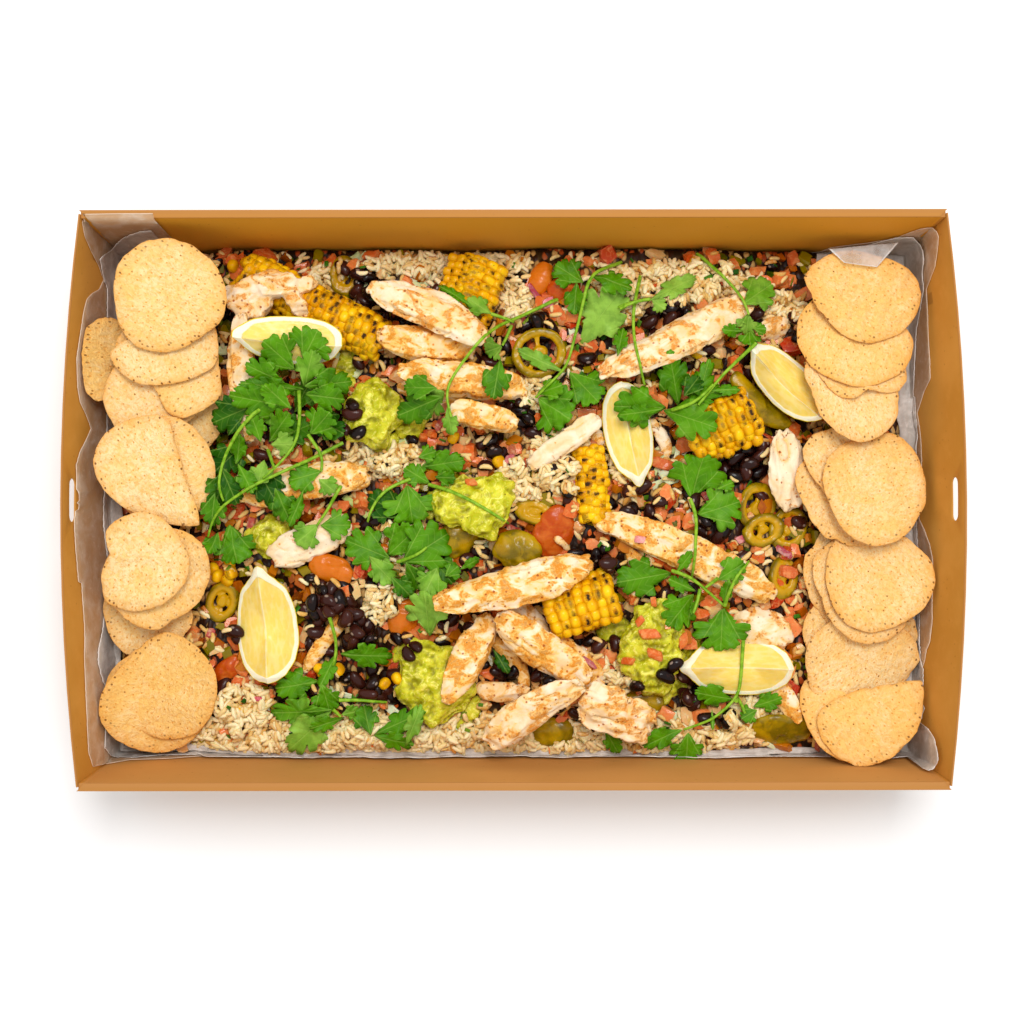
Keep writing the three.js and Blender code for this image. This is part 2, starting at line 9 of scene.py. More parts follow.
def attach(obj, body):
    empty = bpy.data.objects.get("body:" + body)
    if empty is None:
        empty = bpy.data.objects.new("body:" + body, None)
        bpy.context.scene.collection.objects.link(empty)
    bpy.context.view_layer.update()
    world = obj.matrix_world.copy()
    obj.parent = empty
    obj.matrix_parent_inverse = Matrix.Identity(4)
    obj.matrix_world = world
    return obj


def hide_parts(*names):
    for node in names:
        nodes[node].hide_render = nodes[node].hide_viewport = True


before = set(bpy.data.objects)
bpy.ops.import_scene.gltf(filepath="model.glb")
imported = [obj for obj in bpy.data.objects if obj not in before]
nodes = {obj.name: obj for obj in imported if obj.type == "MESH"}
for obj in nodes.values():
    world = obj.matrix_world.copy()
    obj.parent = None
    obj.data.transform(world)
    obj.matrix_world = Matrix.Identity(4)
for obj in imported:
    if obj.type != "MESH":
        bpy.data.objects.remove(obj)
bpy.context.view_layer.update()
mm = 0.001
down = Vector((0, 0, -1))
high = 0.3                                        # rays start above everything
eyeHeight = 0.8136                                # how high the camera stands over the floor
fullTurn = 6.28


# shaders: a signal is a socket that can be added, multiplied and so on
class Signal:
    def __init__(self, finish, socket):
        self.finish = finish
        self.socket = socket

    def __add__(self, other):
        return self.finish.maths("ADD", self, other)

    def __radd__(self, other):
        return self.finish.maths("ADD", other, self)

    def __sub__(self, other):
        return self.finish.maths("SUBTRACT", self, other)

    def __rsub__(self, other):
        return self.finish.maths("SUBTRACT", other, self)

    def __mul__(self, other):
        return self.finish.maths("MULTIPLY", self, other)

    def __rmul__(self, other):
        return self.finish.maths("MULTIPLY", other, self)

    def __pow__(self, other):
        return self.finish.maths("POWER", self, other)

    def ramp(self, low, top):                     # 0 below low, 1 above top, smooth between
        return self.finish.node("ShaderNodeMapRange", {"interpolation_type": "SMOOTHSTEP"},
                                {"Value": self, "From Min": low, "From Max": top})


class Finish:
    def __init__(self, name, **fixed):
        self.material = bpy.data.materials.new(name)
        self.material.use_nodes = True
        self.tree = self.material.node_tree
        self.shader = self.tree.nodes["Principled BSDF"]
        self.shader.inputs["Specular IOR Level"].default_value = 0.16
        for socketName, value in fixed.items():
            self.shader.inputs[socketName.replace("_", " ")].default_value = value

    def node(self, kind, settings=None, inputs=None, output=0):
        made = self.tree.nodes.new(kind)
        for key, value in (settings or {}).items():
            setattr(made, key, value)
        entries = enumerate(inputs) if isinstance(inputs, list) else (inputs or {}).items()
        for key, value in entries:
            self.feed(made.inputs[key], value)
        return Signal(self, made.outputs[output])

    def feed(self, socket, value):
        if isinstance(value, Signal):
            self.tree.links.new(value.socket, socket)
        else:
            socket.default_value = value

    def place(self, stretch=(1, 1, 1), uvMap=None):       # object or own coordinates, stretched
        if uvMap:
            source = self.node("ShaderNodeUVMap", {"uv_map": uvMap})
        else:
            source = self.node("ShaderNodeTexCoord", output="Object")
        return self.node("ShaderNodeMapping", {}, {"Vector": source, "Scale": stretch})

    def attribute(self, name):
        return self.node("ShaderNodeAttribute", {"attribute_name": name}, output="Fac")

    def noise(self, size, detail=3, rough=0.55, warp=0, vector=None):       # size of a lump in mm
        return self.node("ShaderNodeTexNoise", {}, {
            "Vector": vector or self.place(), "Scale": 1000 / size, "Detail": detail,
            "Roughness": rough, "Distortion": warp})

    def cells(self, size, output="Distance", spread=1, vector=None, flat=False):
        settings = {"voronoi_dimensions": "2D"} if flat else {}
        return self.node("ShaderNodeTexVoronoi", settings, {
            "Vector": vector or self.place(), "Scale": 1000 / size, "Randomness": spread}, output)

    def cellChance(self, size, spread=1, vector=None, flat=False):    # a number from 0 to 1 for each cell
        colour = self.cells(size, "Color", spread, vector, flat)
        return self.node("ShaderNodeSeparateColor", {}, {"Color": colour})

    def flecks(self, size, low, top, few, many, spread=1, vector=None, flat=False):    # dots in some cells
        dots = 1 - self.cells(size, "Distance", spread, vector, flat).ramp(low, top)
        return dots * self.cellChance(size, spread, vector, flat).ramp(few, many)

    def coordinate(self, axis, place=None):               # x, y or z, of the object coordinates or of a place
        place = place or self.node("ShaderNodeTexCoord", output="Object")
        return self.node("ShaderNodeSeparateXYZ", {}, {"Vector": place}, axis)

    def distance(self, place, middle=(0, 0, 0)):
        return self.node("ShaderNodeVectorMath", {"operation": "DISTANCE"}, [place, middle], 1)

    def maths(self, operation, *values):
        return self.node("ShaderNodeMath", {"operation": operation}, list(values))

    def mix(self, factor, first, second, blend="MIX"):
        return self.node("ShaderNodeMix", {"data_type": "RGBA", "blend_type": blend},
                         {0: factor, 6: first, 7: second}, 2)

    def bump(self, height, distance, strength=1, under=None):
        inputs = {"Height": height, "Distance": distance * mm, "Strength": strength}
        if under:
            inputs["Normal"] = under
        return self.node("ShaderNodeBump", {}, inputs)

    def wear(self, colour=None, roughness=None, normal=None, alpha=None):
        for socketName, value in (("Base Color", colour), ("Roughness", roughness),
                                  ("Normal", normal), ("Alpha", alpha)):
            if value is not None:
                self.feed(self.shader.inputs[socketName], value)
        return self


density = 1.12                                    # deepens every colour a little, against the soft fill


def shade(red, green, blue):                      # display colour, 0 to 255, as a shader wants it
    linear = [(c / 255 / 12.92) if c / 255 <= 0.04045 else ((c / 255 + 0.055) / 1.055) ** 2.4
              for c in (red, green, blue)]
    return (*[c ** density for c in linear], 1)


# meshes
def pick(piece):                                  # the only selected and active object
    bpy.ops.object.select_all(action="DESELECT")
    piece.select_set(True)
    bpy.context.view_layer.objects.active = piece


def modify(piece, kind, **settings):
    pick(piece)
    modifier = piece.modifiers.new(kind.title(), kind)
    for key, value in settings.items():
        setattr(modifier, key, value)
    bpy.ops.object.modifier_apply(modifier=modifier.name)


def editing(piece):
    pick(piece)
    bpy.ops.object.mode_set(mode="EDIT")
    bpy.ops.mesh.select_all(action="SELECT")


def edited():
    bpy.ops.object.mode_set(mode="OBJECT")


def newObject(name, data):
    made = bpy.data.objects.new(name, data)
    bpy.context.scene.collection.objects.link(made)
    return made


def copyOf(nodeName, pieceName):                  # a CAD node's shape as a piece of its own, merged
    piece = newObject(pieceName, nodes[nodeName].data.copy())
    editing(piece)
    bpy.ops.mesh.customdata_custom_splitnormals_clear()
    bpy.ops.mesh.remove_doubles(threshold=0.00002)
    edited()
    return piece


def newPiece(name, points, faces):
    mesh = bpy.data.meshes.new(name)
    mesh.from_pydata(points, [], faces)
    return newObject(name, mesh)


def pointsOf(piece):
    flat = np.empty(len(piece.data.vertices) * 3)
    piece.data.vertices.foreach_get("co", flat)
    return flat.reshape(-1, 3)


def setPoints(piece, points):
    piece.data.vertices.foreach_set("co", np.asarray(points, dtype=float).ravel())
    piece.data.update()


def normalsOf(piece):
    flat = np.empty(len(piece.data.vertices) * 3)
    piece.data.vertices.foreach_get("normal", flat)
    return flat.reshape(-1, 3)


def setNumbers(piece, name, values):
    field = piece.data.attributes.new(name, "FLOAT", "POINT")
    field.data.foreach_set("value", np.asarray(values, dtype=float))


def setMap(piece, name, values):                  # a UV map from two numbers for each vertex, in metres
    corners = np.empty(len(piece.data.loops), dtype=int)
    piece.data.loops.foreach_get("vertex_index", corners)
    layer = piece.data.uv_layers.new(name=name)
    layer.data.foreach_set("uv", np.asarray(values)[corners].ravel())


standIns = {}                                     # the finished piece that replaces each node


def finishPiece(piece, finish, node=None, angle=None):
    piece.data.materials.clear()
    piece.data.materials.append(finish.material)
    pick(piece)
    if angle:
        bpy.ops.object.shade_smooth_by_angle(angle=math.radians(angle))
    else:
        bpy.ops.object.shade_smooth()
    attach(piece, "root")
    if node:
        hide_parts(node)
        standIns.setdefault(node, piece)
    return piece


def treeOf(pieces):                               # what a ray can hit
    points = []
    faces = []
    for piece in pieces:
        start = len(points)
        points.extend(v.co.copy() for v in piece.data.vertices)
        faces.extend([start + i for i in face.vertices] for face in piece.data.polygons)
    return BVHTree.FromPolygons(points, faces)


def topOf(tree, x, y):                            # the highest point at a place, and its normal
    spot, normal, _, _ = tree.ray_cast(Vector((x, y, high)), down)
    return (spot.z, normal) if spot else (None, None)


def heading(turn):                                # the way a turn in degrees points
    return math.cos(math.radians(turn)), math.sin(math.radians(turn))


def sheetFaces(rows, columns):                    # the faces between rows of points
    return [[i * columns + j, (i + 1) * columns + j, (i + 1) * columns + j + 1, i * columns + j + 1]
            for i in range(rows - 1) for j in range(columns - 1)]


def bumpy(points, size, seed=0, stretch=(1, 1, 1)):      # smooth random numbers, size in mm
    scaled = points * np.array(stretch) / (size * mm) + seed * 7.31
    return np.array([noise.noise(Vector(p)) for p in scaled])


def perBin(bins, count, measure, empty):           # one measure for each bin of points
    return np.array([measure(bins == k) if (bins == k).any() else empty for k in range(count)])


def squarer(angle, power):                        # reach of an outline between a circle and a square
    return (np.abs(np.cos(angle)) ** power + np.abs(np.sin(angle)) ** power) ** (-1 / power)


def rimShare(angle, reach, count, empty):          # how near the rim each point is, from 0 to 1
    bins = ((angle + math.pi) / (2 * math.pi) * (count - 0.01)).astype(int)
    rim = perBin(bins, count, lambda at: reach[at].max(), empty)
    centres = (np.arange(count) + 0.5) / (count / 2) * math.pi - math.pi
    return np.clip(reach / np.interp(angle, centres, rim, period=2 * math.pi), 0, 1)


class Lie:                                        # how an elongated piece lies: its middle and axes
    def __init__(self, points):
        plan = points[:, :2] - (points[:, :2].min(0) + points[:, :2].max(0)) / 2
        rows = np.linalg.svd(plan - plan.mean(0), full_matrices=False)[2]
        self.along = np.array([rows[0][0], rows[0][1], 0.0])
        self.across = np.array([-rows[0][1], rows[0][0], 0.0])
        reachAlong = points @ self.along
        reachAcross = points @ self.across
        middleAlong = (reachAlong.min() + reachAlong.max()) / 2
        middleAcross = (reachAcross.min() + reachAcross.max()) / 2
        self.length = np.ptp(reachAlong)
        self.width = np.ptp(reachAcross)
        self.middle = self.along * middleAlong + self.across * middleAcross
        self.middle[2] = (points[:, 2].min() + points[:, 2].max()) / 2

    def local(self, points):
        away = points - self.middle
        return away @ self.along, away @ self.across


heaps = []


# many copies of a few small shapes in one mesh
def shapeOf(piece):
    bpy.context.view_layer.update()
    points = pointsOf(piece)
    faces = [list(face.vertices) for face in piece.data.polygons]
    bpy.data.objects.remove(piece)
    return points, faces


class Heap:
    def __init__(self):
        self.points = []
        self.faces = []
        self.tones = []
        self.maps = []
        self.count = 0

    def add(self, shape, matrix, tone=0.5, bend=None):
        points, faces = shape
        turned = np.array(matrix.to_3x3())
        placed = points @ turned.T + np.array(matrix.translation)
        if bend:
            placed = bend(placed)
        self.points.append(placed)
        self.maps.append(points[:, :2])
        self.faces.extend([i + self.count for i in face] for face in faces)
        self.tones.extend([tone] * len(points))
        self.count += len(points)

    def piece(self, name, finish, slot, angle=None):
        made = newPiece(name, np.concatenate(self.points).tolist(), self.faces)
        setNumbers(made, "tone", self.tones)
        setMap(made, "own", np.concatenate(self.maps))
        print(f"{name}: {sum(len(f) - 2 for f in self.faces)} triangles")
        heaps.append(made)
        return finishPiece(made, finish, angle=angle)


def roundedBlock(cuts, roundness):                # a soft box one unit wide
    bpy.ops.object.select_all(action="DESELECT")
    bpy.ops.mesh.primitive_cube_add(size=1)
    piece = bpy.context.object
    editing(piece)
    bpy.ops.mesh.subdivide(number_cuts=cuts)
    bpy.ops.transform.tosphere(value=roundness, center_override=(0, 0, 0))
    edited()
    return shapeOf(piece)


def laid(x, y, z, normal, turn, tip=(0, 0), size=1):     # a matrix that lays a shape on a surface
    lean = Vector((0, 0, 1)).rotation_difference(normal).to_matrix().to_4x4()
    spin = Matrix.Rotation(turn, 4, "Z")
    wobble = Euler((tip[0], tip[1], 0)).to_matrix().to_4x4()
    scale = Matrix.Diagonal((*size, 1)) if isinstance(size, tuple) else Matrix.Scale(size, 4)
    return Matrix.Translation((x, y, z)) @ lean @ spin @ wobble @ scale


# tray
# back and front are painted light and shade: a brighter, more golden tint for the inside of the back wall,
# which faces away from the key, and a duller tint for the inside of the front wall
kraft = dict(light=shade(206, 150, 72), dark=shade(195, 138, 58), fibre=shade(212, 156, 78),
             stain=shade(140, 86, 30), rim=shade(188, 134, 76), backWallLight=shade(218, 157, 46),
             front=shade(200, 148, 92), wall=(0.128, 0.139), shell=(0.1418, 0.1422), lean=0.075,
             ends=(0.2215, 0.2228), rimFrom=(0.0784, 0.0792), edge=0.00035, tab=(0.0036, 0.0034),
             tabInset=0.0007, tabTop=0.0793)


def kraftFinish():
    finish = Finish("kraft_board", Roughness=0.62)
    fibres = finish.noise(1.4, 5, 0.7, vector=finish.place((1, 0.35, 1)))
    clouds = finish.noise(48, 3)
    streaks = finish.noise(9, 4, 0.6, vector=finish.place((0.3, 1, 1)))
    colour = finish.mix(clouds.ramp(0.3, 0.7), kraft["light"], kraft["dark"])
    colour = finish.mix(streaks.ramp(0.45, 0.8) * 0.35, colour, kraft["fibre"])
    across = finish.coordinate(1)
    longWall = 1 - finish.maths("ABSOLUTE", finish.coordinate(0)).ramp(*kraft["ends"])
    # painted light and shade: the inside of the back wall is tinted brighter and more golden, the inside of
    # the front wall duller
    for side, tint, share in ((across, kraft["backWallLight"], 0.8), (0 - across, kraft["front"], 0.6)):
        inside = 1 - (side - finish.coordinate(2) * kraft["lean"]).ramp(*kraft["shell"])
        colour = finish.mix(side.ramp(*kraft["wall"]) * inside * longWall * share, colour, tint)
    colour = finish.mix(finish.flecks(5, 0.05, 0.16, 0.6, 0.7) * 0.35, colour, kraft["stain"])
    onRim = finish.coordinate(2).ramp(*kraft["rimFrom"])
    colour = finish.mix(onRim * 0.8, colour, kraft["rim"])
    rough = 0.5 + fibres * 0.25
    return finish.wear(colour, rough, finish.bump(fibres + streaks * 0.6, 0.12, 0.35))


def makeTray():
    finish = kraftFinish()
    tray = copyOf("tray", "kraft_tray")
    editing(tray)
    bpy.ops.mesh.dissolve_limited(angle_limit=math.radians(0.4))
    edited()
    modify(tray, "BEVEL", width=kraft["edge"], segments=2, limit_method="ANGLE",
           angle_limit=math.radians(40))
    finishPiece(tray, finish, "tray", angle=32)
    makeCornerTabs(finish)


def makeCornerTabs(finish):                       # the folded tabs that close the four corners
    points = pointsOf(nodes["tray"])
    ends = []
    for level in (0, 1):
        wanted = points[:, 2].min() if level == 0 else points[:, 2].max()
        row = points[np.abs(points[:, 2] - wanted) < 0.0002]
        corner = row[np.argmax(row[:, 0] + row[:, 1] * 1.4)]
        ends.append(np.array([corner[0], row[:, 1].max(), 0.0008 if level == 0 else kraft["tabTop"]]))
    bpy.ops.object.select_all(action="DESELECT")
    bpy.ops.mesh.primitive_cube_add(size=1)
    tab = bpy.context.object
    tab.name = "kraft_corner_tabs"
    box = pointsOf(tab) + 0.5
    long, deep = kraft["tab"]
    foot, head = ends
    outer = foot + (head - foot) * box[:, 2:]
    away = np.column_stack([kraft["tabInset"] + (1 - box[:, 0]) * long,
                            kraft["tabInset"] + (1 - box[:, 1]) * deep, np.zeros(8)])
    setPoints(tab, outer - away)
    editing(tab)
    bpy.ops.mesh.bevel(offset=kraft["edge"], segments=2, affect="EDGES")
    edited()
    modify(tab, "MIRROR", use_axis=(True, True, False), use_mirror_merge=False)
    editing(tab)
    bpy.ops.mesh.normals_make_consistent(inside=False)
    edited()
    finishPiece(tab, finish, angle=32)


makeTray()
print("tray done")

# liner: two layers of greaseproof paper; each sheet hangs from its torn upper edge down the wall
paper = dict(
    rows=12, lapRows=10, step=0.0012, foot=0.010, rimTop=0.0804, straight=0.150, lapFold=0.0016,
    thick=0.00012, wallTop=0.0785, rimFrom=0.0795, nearest=0.0005,
    # the lighter fold colour of each paper is partly its own paler patches, partly a painted sheen on the
    # folds
    tan=dict(colour=shade(226, 190, 150), foldPaleAndSheen=shade(242, 220, 196), edge=shade(250, 232, 210), see=0.44,
             edgeSee=0.4, inset=0.0008, crumple=0.0003, ragged=0.0004),
    grey=dict(colour=shade(214, 204, 194), foldPaleAndSheen=shade(248, 240, 232), edge=shade(255, 250, 244), see=0.62,
              edgeSee=0.34, inset=0.0016, crumple=0.0010, ragged=0.0011),
    film=dict(colour=shade(206, 198, 190), foldPaleAndSheen=shade(240, 236, 232), edge=shade(255, 253, 250), see=0.34,
              edgeSee=0.4),
    laps=dict(liner_inner_left=6, liner_inner_front=4, liner_inner_right=11),
    sheets=dict(
        liner_outer_left=("tan", [
            (-195, 143.3, 44), (-190.8, 144.9, 65), (-186.6, 148.2, 80), (-203.7, 148.2, 80),
            (-222.4, 147.9, 80), (-224.2, 144, 77), (-224.6, 138, 71), (-224.6, 132, 58),
            (-224.2, 127.3, 47), (-223.6, 121, 40), (-224.6, 115, 45), (-225.6, 111, 55), (-226.4, 107, 61),
            (-227, 101, 64), (-228, 88, 67), (-229, 74.5, 70), (-229.4, 60, 67), (-229.2, 52, 63),
            (-228.4, 45.6, 55), (-227.8, 39.4, 49), (-228.6, 33.4, 54), (-229.6, 25.7, 62),
            (-230.2, 18.6, 66), (-230.3, -1.6, 64.5), (-230.6, -11.8, 68), (-230.4, -21, 67),
            (-229.6, -43, 64), (-228.9, -44, 60), (-227.7, -73, 58), (-227.3, -82, 60), (-225.6, -113, 61),
            (-224.2, -133, 62), (-223.2, -141, 58), (-221, -142.2, 40), (-211, -142.2, 30),
            (-192, -142.1, 28), (-171.7, -141.5, 21)]),
        liner_outer_right=("tan", [
            (164.6, 140.5, 14), (172.2, 141.2, 17), (177.2, 142, 26), (195, 142.6, 35), (208, 143.2, 43),
            (212.3, 144, 53), (217, 144.4, 61), (221.5, 144.4, 63), (223.8, 141.6, 65), (224.3, 138.2, 67),
            (224.8, 131.6, 63), (225, 124.3, 58), (224.7, 120, 52), (224.4, 114.6, 44), (225, 100.7, 44),
            (225.7, 87, 43), (226, 76, 44), (226.2, 66, 44), (225.4, 60, 35), (224.3, 49, 26),
            (224.8, 42.7, 28), (225.2, 34, 30), (225.3, 22.5, 31), (225, 6, 29), (224.6, -9.7, 27),
            (225.6, -16.3, 34), (226.6, -24, 40), (227, -31.6, 44), (226.9, -39.2, 45), (226.5, -54, 44),
            (226.2, -64, 45), (225.5, -76.8, 42), (224.9, -80.5, 39), (224.5, -87.7, 36), (224, -94, 31)]),
        liner_inner_left=("grey", [
            (-194, 143, 44), (-192.3, 143.8, 62), (-197.2, 143.3, 61.5), (-204.3, 142.5, 56),
            (-210.5, 141.6, 50.4), (-216.7, 140.6, 40.4), (-220.2, 137.3, 38), (-220.9, 132.4, 50),
            (-221.7, 130, 53.6), (-222.3, 124.3, 47.3), (-222.6, 120, 41.6), (-222.7, 117, 36),
            (-223.6, 95, 33), (-224, 53.5, 31), (-224.3, 23, 31), (-224.6, 0, 35), (-224.6, -13.5, 35),
            (-224.2, -26, 31), (-223.6, -32.5, 29), (-224, -54, 32), (-224.3, -70, 37), (-224.5, -81, 44.5),
            (-224.3, -87.7, 44.4), (-223.9, -95, 40), (-223, -101, 35.6), (-222.9, -110.5, 39),
            (-222.5, -120, 36), (-221.9, -133.6, 40.3), (-221.2, -139.2, 30.3), (-216.8, -141.3, 26),
            (-210.6, -141.7, 28), (-196.5, -141.4, 22), (-171, -141.4, 21)]),
        liner_inner_front=("grey", [
            (-178, -141.4, 16), (-170.6, -142, 26.4), (-117.8, -142.1, 28.2), (-46.2, -142.1, 27.7),
            (3.4, -141.6, 24), (47.6, -141.8, 25.5), (102.7, -142, 27.3), (168.4, -142.2, 28.7),
            (196, -142.6, 33)]),
        liner_inner_right=("grey", [
            (190, -142.3, 30), (204.5, -141.6, 32.8), (209.6, -140.7, 32.1), (216.1, -140.2, 31.1),
            (217.3, -140.9, 41.7), (216.3, -142.3, 57), (218.2, -142.9, 63.3), (221.2, -140.7, 64.4),
            (221.8, -136.1, 68.3), (222, -130.8, 64.2), (222.2, -126.1, 59.5), (221.8, -122.6, 50.2),
            (221, -120.8, 37.4), (222.6, -112.8, 41.2), (222.5, -109.4, 34.5), (223.3, -99.4, 36.6),
            (223.5, -92, 36), (223.2, -87.4, 31.7), (223.3, -76.6, 30), (223.6, -32.6, 27.4),
            (223.4, 0.7, 24), (223.3, 34, 24), (222.9, 56.6, 22), (223, 94.6, 29.1), (223.2, 114.7, 42.9),
            (222.6, 124.6, 42.5), (222.2, 129.2, 47.2), (221.7, 134.8, 47), (221.2, 139.1, 43),
            (216.4, 142, 47.9), (207, 142.2, 47), (195.4, 141.5, 32.7), (183.5, 141.5, 27.9),
            (178.8, 141, 19), (170, 140.6, 16)])))


def linerFinish(kind):
    look = paper[kind]
    finish = Finish("liner_" + kind, Roughness=0.4)
    folds = finish.noise(20, 2, 0.5, 1.4)
    creases = finish.noise(5, 4, 0.65, 0.8)
    # lighter where the fold and crease noise is high: partly paler patches of the paper itself, partly a
    # painted sheen on its folds
    colour = finish.mix((folds * 0.6 + creases * 0.4).ramp(0.38, 0.66), look["colour"], look["foldPaleAndSheen"])
    nearEdge = 1 - finish.attribute("edge").ramp(0.0002, 0.0011)
    colour = finish.mix(nearEdge * 0.85, colour, look["edge"])
    alpha = look["see"] + nearEdge * look["edgeSee"] + creases.ramp(0.55, 0.8) * 0.1
    return finish.wear(colour, 0.3 + creases * 0.25, finish.bump(folds + creases, 1.2, 0.5), alpha)


def hang(walls, top, look, lap, along, seed):     # one column of a sheet, up the wall to its torn edge
    heart = Vector((max(-paper["straight"], min(paper["straight"], top.x)), 0, 0))
    toward = Vector((top.x - heart.x, top.y, 0)).normalized()

    def wallAt(z):                                # over a slot or a slit the wall beside it counts
        for lift in (0, -0.008, -0.014, 0.006):
            heart.z = min(z, paper["wallTop"]) + lift
            for turn in (0, 0.012, -0.012, 0.03, -0.03, 0.06, -0.06):
                spot, _, _, distance = walls.ray_cast(heart, Matrix.Rotation(turn, 3, "Z") @ toward)
                if spot:
                    heart.z = z
                    return heart + toward * distance

    onRim = top.z > paper["rimFrom"]
    reach = (top - wallAt(top.z)).dot(toward)
    away = look["inset"] if onRim else max(-reach, look["inset"])
    ragged = noise.noise(Vector((along * 900, seed, 0))) + 0.6 * noise.noise(Vector((along * 350, 0, seed)))
    height = top.z if onRim else top.z + look["ragged"] * ragged
    column, below = [], []
    foot = paper["foot"]
    if lap:                                       # the part that lies on the edge of the food
        wall = wallAt(0.024)
        lap *= 1 + 0.35 * noise.noise(Vector((along * 60, seed + 8, 0)))
        for row in range(paper["lapRows"]):
            share = row / paper["lapRows"]
            point = wall - toward * (lap * (1 - share) + 0.0012)
            level = topOf(bedTree, point.x, point.y)[0] or foot
            fold = noise.noise(Vector((along * 70, share * 2.4, seed + 2)))
            fold += 0.6 * abs(noise.noise(Vector((along * 200, share * 4, seed + 6))))
            column.append((point.x, point.y, level + 0.0012 + paper["lapFold"] * (fold + share)))
            below.append(0.01)
        foot = column[-1][2]
        height = max(height, foot + 0.003)
    for row in range(paper["rows"] + 1):
        share = row / paper["rows"]
        z = foot + (height - foot) * share
        fold = noise.noise(Vector((along * 90, share * 1.6, seed)))
        fold += 0.5 * noise.noise(Vector((along * 240, share * 3, seed + 4)))
        inset = look["inset"] + (away - look["inset"]) * share ** 2
        inset += look["crumple"] * fold * (1 - share ** 6)
        point = wallAt(z) - toward * max(inset, paper["nearest"])
        column.append((point.x, point.y, z))
        below.append(height - z)
    if onRim:
        column[-1] = (top.x, top.y, paper["rimTop"])
        column[-2] = (*column[-2][:2], paper["rimTop"])
    return column, below


def makeLiner():
    walls = treeOf([nodes["tray"]])
    finishes = {kind: linerFinish(kind) for kind in ("tan", "grey")}
    for seed, (name, (kind, line)) in enumerate(paper["sheets"].items()):
        line = np.array(line) * mm
        lengths = np.concatenate([[0], np.cumsum(np.linalg.norm(np.diff(line, axis=0), axis=1))])
        stations = np.linspace(0, lengths[-1], int(lengths[-1] / paper["step"]))
        tops = np.column_stack([np.interp(stations, lengths, line[:, k]) for k in range(3)])
        points, edges, faces = [], [], []
        lap = paper["laps"].get(name, 0) * mm
        for station, top in zip(stations, tops):
            column, below = hang(walls, Vector(top), paper[kind], lap, station, seed)
            points += column
            edges += below
        rows = len(column)
        for i in range(len(stations) - 1):
            for j in range(rows - 1):
                a, b = i * rows + j, (i + 1) * rows + j
                faces.append([a, a + 1, b + 1, b])
        piece = newPiece(name, points, faces)
        setNumbers(piece, "edge", edges)
        modify(piece, "SOLIDIFY", thickness=paper["thick"], offset=0)
        finishPiece(piece, finishes[kind], "liner")


# where each kind of small thing lies: middle and reach in mm
regions = dict(
    beans=[(-77, 117, 15, 10), (-91, 40, 9, 9), (-101, -63, 13, 23), (-76, -100, 13, 8), (27, 19, 10, 7),
           (84, 105, 13, 9), (124, 27, 12, 14), (46, -33, 10, 8), (30, -72, 10, 9), (-7, -96, 8, 8),
           (95, -102, 16, 8), (-124, 99, 9, 8), (-62, 106, 9, 6), (4, 50, 9, 8), (-15, 28, 6, 6),
           (110, -14, 8, 8), (17, -96, 8, 7), (-158, -104, 6, 6), (12, 90, 7, 6), (-84, -74, 12, 10),
           (60, 104, 8, 6), (-70, -52, 8, 8)],
    rice=[(87, 121, 36, 10), (-66, -56, 14, 10), (27, 22, 16, 15), (-72, 24, 18, 9), (133, -119, 14, 9),
          (-36, 132, 40, 6), (60, 110, 12, 10), (0, 112, 8, 10), (-120, -128, 60, 9), (-30, -128, 60, 9),
          (60, -130, 60, 8), (-104, 126, 8, 5), (3, 10, 12, 10), (-60, -20, 10, 8), (12, 60, 8, 8),
          (148, 106, 10, 8), (60, 30, 6, 16), (-48, -40, 10, 8), (56, -100, 8, 10), (-148, -112, 14, 10)],
    dice=[(-76, 84, 16, 14), (-72, 66, 10, 8), (30, 116, 14, 10), (60, 0, 18, 12), (45, 52, 12, 12),
          (-128, -92, 18, 12), (50, 14, 14, 14), (75, -20, 16, 8), (78, -66, 12, 10), (120, -57, 14, 9),
          (-26, 14, 14, 10), (-150, 10, 14, 12), (14, -40, 10, 8), (130, 42, 10, 12), (-12, 108, 12, 8),
          (98, -60, 10, 10), (-55, -68, 8, 8), (112, -112, 12, 7), (-96, 118, 10, 8), (48, -100, 12, 8)],
    cabbage=[(-53, 122, 18, 8), (-76, -112, 16, 8), (78, -119, 12, 6), (-90, 130, 14, 5), (84, 20, 10, 8),
             (100, 128, 20, 6), (-40, -124, 10, 6), (-66, 24, 10, 8), (52, 66, 10, 8)])


def pull(kind, x, y):                             # how much of a kind lies here
    return max((math.exp(-(((x - u) / (a * 1.05)) ** 2 + ((y - v) / (b * 1.05)) ** 2) ** 1.5)
                for u, v, a, b in regions[kind]), default=0)


def drift(x, y, seed, size=17):
    return 0.5 + 0.5 * noise.noise(Vector((x / size, y / size, seed)))


# salad bed: a core a little below the real surface, which loose grains and dice cover; its near-black brown
# and the darker rims of its grain cells are painted shade for the gaps between them
core = dict(sink=0.004, lump=0.0014, rice=shade(212, 172, 108), gapShade=shade(62, 30, 8),
            tomato=shade(178, 84, 36), deep=shade(44, 24, 10), riceGapShade=shade(168, 132, 76))


def coreFinish():
    finish = Finish("salad_core", Roughness=0.4)
    ricePart = finish.attribute("rice")
    grains = finish.cells(3.0, vector=finish.place((1, 0.6, 1)))
    chance = finish.cellChance(3.0, vector=finish.place((1, 0.6, 1)))
    # painted shade: away from the rice the core is a near-black brown, which shows as the shade in the gaps
    colour = finish.mix((chance + ricePart * 0.7).ramp(0.45, 0.55), core["gapShade"], core["rice"])
    colour = finish.mix(chance.ramp(0.78, 0.8) * (1 - ricePart), colour, core["tomato"])
    # painted shade: darker towards the rims of the grain cells, in a darker tone under the rice and near
    # black elsewhere
    colour = finish.mix(grains.ramp(0.35, 0.65), colour, finish.mix(ricePart, core["deep"], core["riceGapShade"]))
    return finish.wear(colour, None, finish.bump(grains, -1.2, 0.9))


